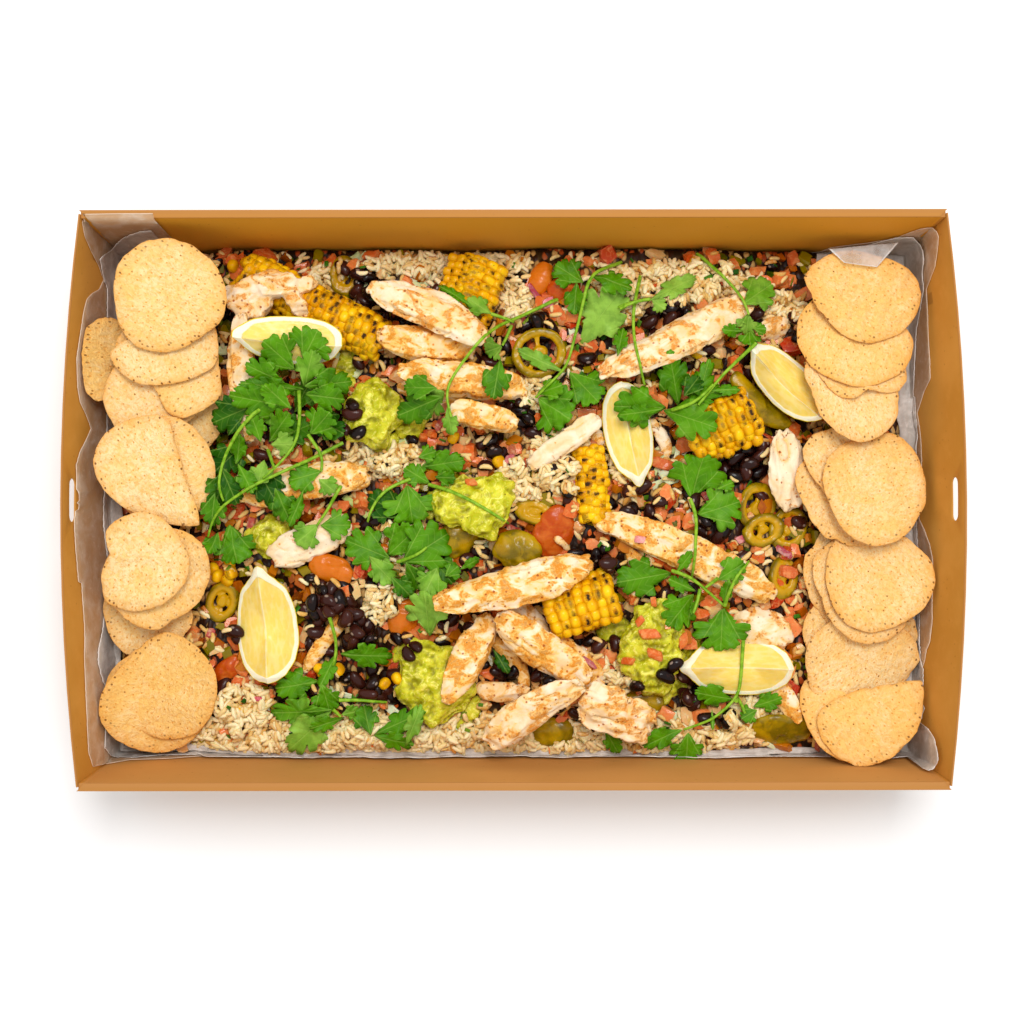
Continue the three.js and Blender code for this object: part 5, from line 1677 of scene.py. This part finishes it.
def makeDice(rng):
    shapes = [diceShape(rng, rng.uniform(0.25, 0.7)) for _ in range(14)]
    kinds = dict(
        tomato=(Heap(), (0.0040, 0.0088), tomatoFlesh),
        onion=(Heap(), (0.0034, 0.0070), looseFinish(
            "onion_dice", shade(230, 192, 130), shade(218, 150, 88), shade(190, 84, 76), 0.2, 0.25, 0.2,
            shade(244, 222, 176))),
        green=(Heap(), (0.0032, 0.0064), looseFinish(
            "green_dice", shade(150, 130, 4), shade(112, 108, 4), shade(52, 80, 2), 0.2, 0.1, 0.2)),
        orange=(Heap(), (0.004, 0.0068), looseFinish(
            "pepper_dice", shade(202, 126, 22), shade(176, 92, 10), shade(124, 58, 8), 0.22, 0.15, 0.2)))
    step = loose["diceStep"] * mm
    spots = [(i * step, j * step) for i in range(-44, 45) for j in range(-28, 29)]
    rng.shuffle(spots)
    for gridX, gridY in spots:
        x, y = gridX + rng.uniform(-0.5, 0.5) * step, gridY + rng.uniform(-0.5, 0.5) * step
        u, v = x / mm, y / mm
        here = dict(dice=0.26 + pull("dice", u, v) * 1.3 + drift(u, v, 1) * 0.5,
                    rice=0.16 + pull("rice", u, v) * 2.4, beans=pull("beans", u, v) * 1.6,
                    cabbage=pull("cabbage", u, v) * 0.8)
        if rng.random() * sum(here.values()) > here["dice"]:
            continue
        if not insideBed(x, y, 0.003):
            continue
        draw = rng.random()
        green = 0.12 + 0.22 * drift(u, v, 4, 12)
        name = ("green" if draw < green else "onion" if draw < green + 0.2 else
                "orange" if draw < green + 0.36 else "tomato")
        heap, (small, large), _ = kinds[name]
        size = small + (large - small) * rng.random() ** 1.5
        level = ground.level(x, y, size * 0.5, 0.45)
        flat = rng.uniform(0.5, 0.85)
        if not openAt(x, y, size * flat + 0.001):
            continue
        shape = shapes[rng.randrange(len(shapes))]
        shape = (shape[0] * size * np.array([1, rng.uniform(0.6, 1.1), flat]), shape[1])
        matrix = laid(x, y, level + size * flat * 0.34, ground.slope(x, y, size), rng.uniform(0, fullTurn),
                      (rng.gauss(0, 0.3), rng.gauss(0, 0.3)))
        heap.add(shape, matrix, rng.random() ** 1.8)
        ground.cover(x, y, size * 0.5, level + size * flat * 0.84, 0.3)
    for name, (heap, _, finish) in kinds.items():
        heap.piece(name + "_bits", finish, "salad", 44)


def beanFinish():
    finish = Finish("black_bean", Roughness=0.24, Coat_Weight=0.15, Coat_Roughness=0.15)
    tone = finish.attribute("tone")
    mottle = finish.noise(3.2, 3, 0.6)
    colour = finish.mix(tone.ramp(0.2, 0.95), shade(28, 10, 8), shade(74, 34, 24))
    colour = finish.mix(mottle.ramp(0.55, 0.8) * 0.3, colour, shade(116, 64, 44))
    own = finish.place((0.45, 1, 1), "own")
    away = finish.distance(own, (0, -0.0029, 0))
    colour = finish.mix((1 - (away * 1000).ramp(0.35, 0.6)) * 0.55, colour, shade(190, 168, 150))
    return finish.wear(colour, 0.16 + mottle * 0.2, finish.bump(mottle, 0.35, 0.5))


def makeBeans(rng, name, finish, marked, scattered=True):
    shape = sphereShape(12, 9, loose["bean"], 0.0012, 0.12)
    heap = Heap()
    step = loose["beanStep"] * mm
    spots = [(i * step, j * step) for i in range(-24, 25) for j in range(-17, 18)] * 2 if scattered else []
    rng.shuffle(spots)
    for number, (gridX, gridY) in enumerate(spots + [(u * mm, v * mm) for u, v in marked]):
        onTop = number >= len(spots)
        x, y = gridX + rng.uniform(-0.5, 0.5) * step, gridY + rng.uniform(-0.5, 0.5) * step
        if onTop:
            x, y = gridX, gridY
        u, v = x / mm, y / mm
        chance = 2 if onTop else 0.075 + 1.0 * pull("beans", u, v)
        if rng.random() > chance or not insideBed(x, y, 0.004):
            continue
        level = ground.level(x, y, 0.0038, 0.5)
        if scattered and not openAt(x, y, 0.006):
            continue
        size = rng.uniform(0.86, 1.14)
        matrix = laid(x, y, level + 0.0026, ground.slope(x, y, 0.005), rng.uniform(0, fullTurn),
                      (rng.gauss(0, 0.5), rng.gauss(0, 0.2)), size)
        heap.add(shape, matrix, rng.random())
        ground.cover(x, y, 0.0043, level + 0.0054, 0.5)
    heap.piece(name, finish, "salad")


def makeRice(rng, name, clumped, finish):
    shapes = [sphereShape(8, 5, loose["rice"], bow) for bow in (0.0, 0.0005, 0.0010)]
    heap = Heap()
    done = tries = 0
    weights = [a * b for _, _, a, b in regions["rice"]]
    while done < loose["grains"] and tries < loose["grains"] * 4:
        tries += 1
        if rng.random() < clumped:
            u, v, a, b = rng.choices(regions["rice"], weights)[0]
            angle, reach = rng.uniform(0, fullTurn), math.sqrt(rng.random()) * 1.2
            u, v = u + math.cos(angle) * reach * a, v + math.sin(angle) * reach * b
        else:
            u, v = rng.uniform(-185, 185), rng.uniform(-138, 138)
            if drift(u, v, 9, 12) < 0.44 or rng.random() < pull("beans", u, v) * 1.5:
                continue
        x, y = u * mm, v * mm
        if not insideBed(x, y, 0.002) or not openAt(x, y, 0.0022):
            continue
        level = ground.level(x, y, 0.002, 0.4)
        size = rng.uniform(0.8, 1.1)
        matrix = laid(x, y, level + 0.0010, ground.slope(x, y, 0.003), rng.uniform(0, fullTurn),
                      (rng.gauss(0, 0.22), rng.gauss(0, 0.12)), size)
        heap.add(shapes[rng.randrange(3)], matrix, rng.random() ** 1.5)
        ground.cover(x, y, 0.0017, level + 0.0017, 0.3)
        done += 1
    print(name, done)
    heap.piece(name, finish, "salad")


def makeKernelBits(rng):
    heap = Heap()
    shape = (kernelShape[0] * np.array([0.0058, 0.0048, 0.0062]), kernelShape[1])
    for x, y, reach, number in ((-148, 126, 9, 12), (-155, -41, 9, 6), (-103, -94, 6, 3), (-68, -110, 20, 3),
                                (80, -106, 14, 3), (-8, 24, 20, 3), (60, 60, 20, 3), (100, 80, 30, 4),
                                (-150, -118, 10, 2), (-60, -92, 10, 2)):
        for _ in range(number):
            u, v = rng.gauss(x, reach * 0.6) * mm, rng.gauss(y, reach * 0.6) * mm
            if not insideBed(u, v, 0.003) or not openAt(u, v, 0.005):
                continue
            level = ground.level(u, v, 0.0028, 0.5)
            heap.add(shape, laid(u, v, level + 0.0022, ground.slope(u, v, 0.004), rng.uniform(0, fullTurn),
                                 (rng.gauss(0, 0.6), rng.gauss(0, 0.6))), rng.uniform(0, 0.6))
            ground.cover(u, v, 0.003, level + 0.0046, 0.5)
    heap.piece("loose_corn_kernels", cornFinish, "corn")


def makeFlakes(rng):                              # chopped leaf and pepper skin
    finish = looseFinish("chopped_herb", shade(40, 92, 18), shade(78, 132, 30), shade(140, 160, 40),
                         0.35, 0.0)
    heap = Heap()
    for _ in range(loose["flakes"]):
        x, y = rng.uniform(-0.18, 0.18), rng.uniform(-0.136, 0.136)
        if not insideBed(x, y, 0.003) or not openAt(x, y, 0.002):
            continue
        shape = ribbonShape(4, rng.uniform(0.002, 0.006), rng.uniform(0.0012, 0.003))
        curl = rng.uniform(-1, 1)
        points = shape[0].copy()
        points[:, 2] = curl * 40 * points[:, 0] ** 2
        level = ground.level(x, y, 0.002, 0.75)
        slope = ground.slope(x, y, 0.003)
        place = laid(x, y, level + 0.0008, slope, rng.uniform(0, fullTurn),
                     (rng.gauss(0, 0.4), rng.gauss(0, 0.4)))
        heap.add((points, shape[1]), place, rng.random())
    piece = heap.piece("chopped_herbs", finish, "salad")
    modify(piece, "SOLIDIFY", thickness=0.0003, offset=0)


coverTree = treeOf([nodes[name] for name in toppingNames] + extras + crisps)
lumpTops = ground.z
ground.z = bareBed
scatterDraw = random.Random(21)
makeShreds(scatterDraw)
makeChunks(scatterDraw, chunks["onBed"], "tomato_chunks", 0.007)
makeDice(scatterDraw)
print("dice done")
beanShell = beanFinish()
makeBeans(scatterDraw, "black_beans", beanShell, beanSpots["onTop"])
print("beans done")
makeKernelBits(scatterDraw)
makeRice(scatterDraw, "rice_dressed", 0.45, looseFinish(
    "rice_dressed", shade(240, 208, 142), shade(226, 180, 98), shade(204, 136, 50), 0.3, 0.15,
    spots=shade(248, 224, 168)))
makeRice(scatterDraw, "rice_grains", 0.8, looseFinish(
    "rice", shade(251, 232, 186), shade(244, 216, 156), shade(230, 184, 106), 0.3, 0.15,
    spots=shade(254, 241, 208)))
makeFlakes(scatterDraw)
np.maximum(ground.z, lumpTops, out=ground.z)
for name in toppingNames:
    ground.coverPiece(standIns[name])
    if name.startswith("corn_"):
        ground.coverPiece(nodes[name])
makeChunks(scatterDraw, chunks["onMash"], "tomato_on_guacamole", 0.005)
makeChunks(scatterDraw, chunks["redOnion"], "red_onion_pieces", 0.003, redOnion)
makeBeans(scatterDraw, "beans_on_guacamole", beanShell, beanSpots["onMash"], False)
for piece in heaps + extras:
    ground.coverPoints(piece)
print("scatter done")

# coriander; the last number of each leaf is its tone, from a dark green that is partly the leaves' own darker
# green and partly painted shade, through mid green to the pale green of an underside
herb = dict(
    leaves=[
        (-141, 50, 200, 20, 17, 0.15), (-120, 49, 60, 18, 15, 0.30), (-147, 33, 230, 20, 16, 0.10),
        (-154, 17, 250, 19, 14, 0.20), (-139, 18, 300, 20, 16, 0.10), (-131, 34, 20, 19, 16, 0.25),
        (-110, 47, 330, 18, 15, 0.15), (-128, 7, 290, 17, 13, 0.30), (-160, 4, 260, 15, 12, 0.35),
        (-59, -9, 150, 20, 16, 0.10), (-46, -29, 310, 18, 14, 0.30),
        (-112, 75, 59, 15, 21, 0.55), (-112, 61, 72, 17, 13, 0.7), (-116, 70, 139, 18, 19, 0.5),
        (-122, 63, 156, 19, 12, 0.5), (-113, 60, 177, 27, 9, 0.35), (-119, 50, 170, 27, 15, 0.45),
        (-119, 49, 137, 15, 12, 0.5), (-111, 61, 9, 20, 15, 0.35), (-112, 57, -7, 19, 15, 0.4),
        (-110, 36, 44, 14, 18, 0.45), (-133, 33, 49, 16, 15, 0.6), (-132, 31, 0, 12, 11, 0.85),
        (-135, 22, -98, 11, 12, 0.85), (-135, 31, 106, 14, 9, 0.5), (-151, 20, 78, 14, 8, 0.5),
        (-156, 18, -70, 18, 12, 0.15), (-148, 20, -61, 16, 9, 0.4), (-104, 16, -163, 16, 15, 0.5),
        (-105, 12, -39, 10, 10, 0.75), (-113, 6, -113, 19, 6, 0.5), (-106, -13, -140, 13, 15, 0.75),
        (-104, -13, 0, 13, 16, 0.6), (-155, -13, -78, 18, 22, 0.4), (-161, -17, -108, 10, 9, 0.4),
        (-50, 19, 8, 20, 14, 0.45), (-52, 24, 18, 9, 9, 0.4), (-46, 10, 149, 13, 12, 0.45),
        (-58, 9, -81, 19, 24, 0.6), (-43, 13, -4, 10, 8, 0.3), (-69, -30, 43, 20, 19, 0.5),
        (-67, -31, 158, 22, 21, 0.45), (-78, -30, -49, 16, 13, 0.75), (-60, -33, 32, 24, 28, 0.4),
        (-58, -33, -63, 15, 12, 0.3), (-41, -36, -115, 14, 15, 0.75), (-66, -41, -45, 13, 10, 0.25),
        (-37, -41, 38, 8, 9, 0.55), (-29, -37, 30, 10, 5, 0.45), (-46, -73, 94, 21, 21, 0.85),
        (-37, 58, -150, 12, 17, 0.75), (-38, 55, -159, 22, 15, 0.3), (-40, 59, 177, 16, 12, 0.35),
        (-7, 76, -100, 20, 13, 0.35), (-6, 85, -157, 9, 11, 0.75), (-12, 101, 148, 13, 10, 0.75),
        (-21, 103, 145, 21, 5, 0.5), (28, 70, 154, 24, 8, 0.75), (36, 86, 52, 33, 24, 0.95),
        (38, 120, 147, 15, 17, 0.4), (35, 120, -96, 16, 11, 0.4), (43, 123, -22, 19, 13, 0.4),
        (31, 70, -49, 19, 20, 0.45), (13, 56, -34, 19, 23, 0.5), (13, 58, 17, 12, 11, 0.55),
        (56, 78, 76, 14, 7, 0.5), (-35, 49, -81, 12, 8, 0.75), (83, 51, 180, 24, 21, 0.45),
        (91, 52, 104, 26, 15, 0.35), (99, 49, 74, 26, 10, 0.5), (86, 49, 23, 26, 10, 0.5),
        (82, 49, -22, 24, 20, 0.6), (107, 59, 0, 12, 6, 0.4), (92, 56, 52, 13, 10, 0.15),
        (81, 50, -169, 21, 9, 0.4), (74, 109, 28, 26, 10, 0.85), (75, 109, -32, 8, 7, 0.85),
        (125, 107, 36, 19, 18, 0.7), (128, 102, -95, 10, 12, 0.8), (125, 92, 180, 11, 6, 0.5),
        (128, 92, -96, 8, 10, 0.5), (129, 92, 0, 6, 7, 0.45), (97, 1, 76, 22, 28, 0.5),
        (100, -8, 18, 21, 22, 0.6), (110, 6, 23, 9, 6, 0.5), (86, -39, -170, 26, 20, 0.4),
        (88, -39, 56, 12, 6, 0.5), (98, -51, -132, 19, 19, 0.5), (99, -49, 157, 14, 8, 0.4),
        (110, -43, 34, 15, 13, 0.6), (114, -57, 83, 12, 6, 0.55), (114, -58, -92, 21, 27, 0.5),
        (100, -53, -115, 8, 4, 0.5), (-96, -82, -116, 18, 8, 0.5), (-94, -83, -3, 23, 13, 0.4),
        (-104, -99, -77, 14, 15, 0.45), (-106, -98, -170, 22, 15, 0.45),
        (-98, -113, -175, 31, 13, 0.65), (-99, -114, -138, 29, 17, 0.8),
        (-93, -118, -165, 15, 8, 0.45), (-94, -116, 12, 9, 7, 0.7), (-78, -127, 105, 14, 12, 0.3),
        (-76, -127, 25, 26, 11, 0.45), (-76, -127, -14, 19, 9, 0.4), (-59, -133, 68, 21, 8, 0.8),
        (121, -109, 168, 20, 11, 0.5), (108, -114, -90, 9, 2, 0.5), (92, -125, -159, 20, 11, 0.5),
        (95, -127, -90, 15, 17, 0.5), (131, -113, 22, 14, 9, 0.45), (133, -114, -150, 9, 9, 0.5),
        (50, -125, -61, 13, 9, 0.45), (-11, -81, -58, 13, 6, 0.1),
    ],
    stems=[
        [(-93, 32), (-111, 22), (-134, 11), (-155, -2), (-162, -9), (-165, -19)],
        [(-115, 59), (-115, 46), (-117, 31), (-128, 17), (-134, 12)],
        [(-135, 48), (-147, 37), (-155, 22), (-158, 6), (-155, 0)], [(-93, 8), (-99, -3), (-106, -13)],
        [(-134, 28), (-128, 17)], [(-111, 36), (-107, 29), (-102, 25), (-104, 16)],
        [(-46, 9), (-35, 6), (-19, -2), (-3, -12)], [(-56, 12), (-69, 7), (-75, 0), (-79, -11)],
        [(-63, -33), (-50, -29), (-47, -25)], [(24, 111), (-9, 94), (-28, 72), (-37, 58), (-33, 44)],
        [(60, 133), (46, 126), (41, 122), (36, 99), (29, 72), (12, 56)],
        [(-1, 96), (-3, 90), (-6, 85)], [(-12, 101), (0, 97)], [(67, 108), (57, 105)],
        [(70, 124), (65, 105), (65, 85), (69, 67), (71, 63)], [(74, 109), (68, 109), (58, 104)],
        [(102, 137), (118, 119), (125, 111), (128, 101)], [(130, 84), (113, 68), (99, 51)],
        [(86, 49), (97, 51), (107, 62)], [(96, 1), (100, -6), (99, -14), (97, -28), (97, -42)],
        [(86, -38), (96, -41), (106, -50), (114, -57)], [(110, -42), (104, -47)],
        [(101, -48), (100, -55), (97, -61)], [(114, -57), (116, -46), (122, -37), (127, -33)],
        [(-99, -63), (-96, -75), (-95, -82), (-98, -89)], [(-95, -108), (-83, -108), (-70, -110)],
        [(-98, -113), (-94, -117)], [(125, -76), (124, -92), (123, -107), (108, -119), (93, -125)],
        [(123, -108), (126, -116)], [(121, -109), (123, -108)],
    ],
    spokes=96, rings=4, stemRadius=0.00092, above=0.0009, grow=1.18, steepest=0.45, clear=0.75,
    drape=0.0025,
    notches=((0.95, 0.34, 0.10), (0.34, 0.13, 0.07), (1.5, 0.15, 0.08), (2.15, 0.2, 0.12)),
    dark=shade(38, 92, 0), mid=shade(98, 156, 4), pale=shade(158, 198, 82), vein=shade(178, 210, 100))


def leafReach(angle, seed):                       # how far a leaf reaches from its middle, 1 for an ellipse
    side = abs(angle)
    reach = 1 - 0.36 * math.sin(math.pi * min(1, max(0, side - 1.9) / (math.pi - 1.9)))
    for at, depth, width in herb["notches"]:
        uneven = 1 + 0.3 * math.sin(seed + at * 9 + (2 if angle > 0 else 0))
        reach -= depth * uneven * math.exp(-((side - at) / width) ** 2)
    if side < 2.5:
        reach -= 0.06 * (1 - abs(math.sin(angle * 5.5 + seed)) ** 0.8)
        reach -= 0.06 * (1 - abs(math.sin(angle * 12 + seed * 2)) ** 0.6)
    return reach * (1 + 0.06 * math.sin(seed * 3 + angle * 1.7))


def leafFinish():
    finish = Finish("coriander_leaf", Roughness=0.4)
    tone = finish.attribute("tone")
    own = finish.place(uvMap="own")
    along, across = finish.coordinate(0, own), finish.coordinate(1, own)
    angle = finish.maths("ABSOLUTE", finish.maths("ARCTAN2", across, along))
    away = finish.distance(own)
    main = finish.maths("MINIMUM", angle, finish.maths("ABSOLUTE", angle - 0.52))
    vein = 1 - (main * away).ramp(0.0001, 0.0005)
    vein = vein + finish.maths("SINE", main * 26 - away * 1500).ramp(0.8, 1.0) * 0.4
    broad = finish.noise(8, 3, 0.6)
    fine = finish.noise(1.5, 3, 0.6)
    # tone: dark green, partly painted shade, through mid green to the pale underside; noise adds darker
    # patches of the same green
    colour = finish.mix(tone.ramp(0.05, 0.5), herb["dark"], herb["mid"])
    colour = finish.mix(tone.ramp(0.55, 0.95), colour, herb["pale"])
    colour = finish.mix(broad.ramp(0.38, 0.7) * 0.4, colour, herb["dark"])
    colour = finish.mix(vein * 0.26, colour, herb["vein"])
    return finish.wear(colour, 0.34 + fine * 0.2, finish.bump(vein * -1 + fine * 0.5, 0.35, 0.5))


def makeLeaves(rng):
    points, faces, tones, local = [], [], [], []
    spokes, rings = herb["spokes"], herb["rings"]
    for x, y, turn, length, width, leafToneAndShade in herb["leaves"]:
        length, width = length * mm * herb["grow"], width * mm * herb["grow"]
        x, y = x * mm, y * mm
        c, s = heading(turn)
        lift = rng.uniform(0.0, 0.003)
        fold, wave, phase = rng.uniform(-0.12, 0.22), rng.uniform(0.045, 0.09), rng.uniform(0, fullTurn)
        start = len(points)
        places = [(length * 0.5, 0.0, 0.0)]
        for j in range(1, rings + 1):
            share = (j / rings) ** 0.8
            for i in range(spokes):
                angle = 2 * math.pi * i / spokes - math.pi
                reach = 1 + (leafReach(angle, phase) - 1) * share ** 1.5
                places.append((length * 0.5 * (1 + math.cos(angle) * reach * share),
                               width * 0.5 * math.sin(angle) * reach * share, share))
        spots = [(x + a * c - b * s, y + a * s + b * c) for a, b, share in places]
        lows = np.array([ground.level(px, py, 0.0016, 1.0) for px, py in spots]) + herb["above"]
        ways = np.array([(1, a, b) for a, b, share in places])
        lie = np.clip(np.linalg.lstsq(ways, lows, rcond=None)[0][1:], -herb["steepest"], herb["steepest"])
        sheet = ways[:, 1:] @ lie                 # a leaf lies as one sheet on what is under it
        sheet += np.quantile(lows - sheet, herb["clear"])
        for (a, b, share), (px, py), low, plane in zip(places, spots, lows, sheet):
            plane += lift * min(a / length, 1)
            angle = math.atan2(b, a - length * 0.5)
            ruffle = math.sin(angle * 4 + phase) + 0.45 * math.sin(angle * 9 + 2 * phase)
            plane += fold * abs(b) + wave * length * share ** 3 * ruffle
            plane -= 0.04 * length * share ** 3
            points.append((px, py, max(plane, min(low, plane + herb["drape"]))))
            tones.append(min(1, max(0, leafToneAndShade + 0.06 * math.sin(angle * 2 + phase))))
            local.append((a, b))
        for i in range(spokes):
            following = (i + 1) % spokes
            faces.append([start, start + 1 + i, start + 1 + following])
            for j in range(rings - 1):
                inner, outer = start + 1 + j * spokes, start + 1 + (j + 1) * spokes
                faces.append([inner + i, outer + i, outer + following, inner + following])
        for px, py, z in points[start:]:
            ground.cover(px, py, 0.001, z + 0.0003, 0)
    piece = newPiece("coriander_leaves", points, faces)
    setNumbers(piece, "tone", tones)
    setMap(piece, "own", local)
    modify(piece, "SOLIDIFY", thickness=0.00022, offset=1)
    print("leaves", sum(len(f.vertices) - 2 for f in piece.data.polygons), "triangles")
    finishPiece(piece, leafFinish())


def makeStems(rng):
    finish = Finish("coriander_stem", Roughness=0.38)
    streaks = finish.noise(3, 3, 0.6, 0.3)
    finish.wear(finish.mix(streaks.ramp(0.35, 0.7), shade(158, 196, 60), shade(112, 160, 24)), 0.35,
                finish.bump(streaks, 0.2, 0.4))
    curve = bpy.data.curves.new("coriander_stems", "CURVE")
    curve.dimensions = "3D"
    curve.bevel_depth = herb["stemRadius"]
    curve.bevel_resolution = 2
    curve.use_fill_caps = True
    curve.resolution_u = 4
    for line in herb["stems"]:
        path = []
        for (x0, y0), (x1, y1) in zip(line, line[1:]):
            steps = max(2, int(math.hypot(x1 - x0, y1 - y0) / 3))
            path += [(x0 + (x1 - x0) * k / steps, y0 + (y1 - y0) * k / steps) for k in range(steps)]
        path.append(line[-1])
        path = np.array(path) * mm
        for _ in range(6):
            path[1:-1] = (path[:-2] + 2 * path[1:-1] + path[2:]) / 4
        heights = np.array([ground.level(px, py, 0.0012, 0.9) for px, py in path])
        rest = heights + herb["stemRadius"] * 0.8
        lifted = rest.copy()
        for _ in range(30):
            lifted[1:-1] = np.maximum(rest[1:-1], (lifted[:-2] + lifted[2:]) / 2 - 0.00005)
        spline = curve.splines.new("POLY")
        spline.points.add(len(path) - 1)
        for k, point in enumerate(spline.points):
            point.co = (path[k, 0], path[k, 1], lifted[k], 1)
            point.radius = 1.15 - 0.45 * k / len(path)
        for k in range(len(path)):
            ground.cover(path[k, 0], path[k, 1], 0.001, lifted[k] + 0.0008, 0.3)
    pick(newObject("coriander_stems", curve))
    bpy.ops.object.convert(target="MESH")
    finishPiece(bpy.context.object, finish)


herbDraw = random.Random(6)
makeLeaves(herbDraw)
makeStems(herbDraw)
print("coriander done")

# floor, light and camera
studio = dict(floor=shade(250, 250, 250), floorSize=6, floorHeight=-0.0004, fill=0.80,
              key=(0.12, 0.5, 1.55), keySize=0.6, keyPower=14.5, lens=50, sensor=36, clipStart=0.01,
              eye=(-0.00127, -0.0211, eyeHeight), turn=(0.01954, -0.00047, -0.0015))


def makeStudio():
    scene = bpy.context.scene
    scene.view_settings.view_transform = "Standard"
    bpy.ops.object.select_all(action="DESELECT")
    bpy.ops.mesh.primitive_plane_add(size=studio["floorSize"], location=(0, 0, studio["floorHeight"]))
    floor = bpy.context.object
    floor.name = "floor"
    finish = Finish("studio_floor", Roughness=0.9)
    finish.shader.inputs["Base Color"].default_value = studio["floor"]
    floor.data.materials.append(finish.material)
    world = bpy.data.worlds.new("studio")
    scene.world = world
    world.use_nodes = True
    world.node_tree.nodes["Background"].inputs["Color"].default_value = (1, 1, 1, 1)
    world.node_tree.nodes["Background"].inputs["Strength"].default_value = studio["fill"]
    lamp = bpy.data.lights.new("key", "AREA")
    lamp.energy = studio["keyPower"]
    lamp.size = studio["keySize"]
    key = newObject("key", lamp)
    key.location = studio["key"]
    key.rotation_euler = (-Vector(studio["key"])).to_track_quat("-Z", "Y").to_euler()
    view = bpy.data.cameras.new("camera")
    view.lens = studio["lens"]
    view.sensor_width = studio["sensor"]
    view.clip_start = studio["clipStart"]
    eye = newObject("camera", view)
    eye.location = studio["eye"]
    eye.rotation_euler = studio["turn"]
    scene.camera = eye


makeStudio()
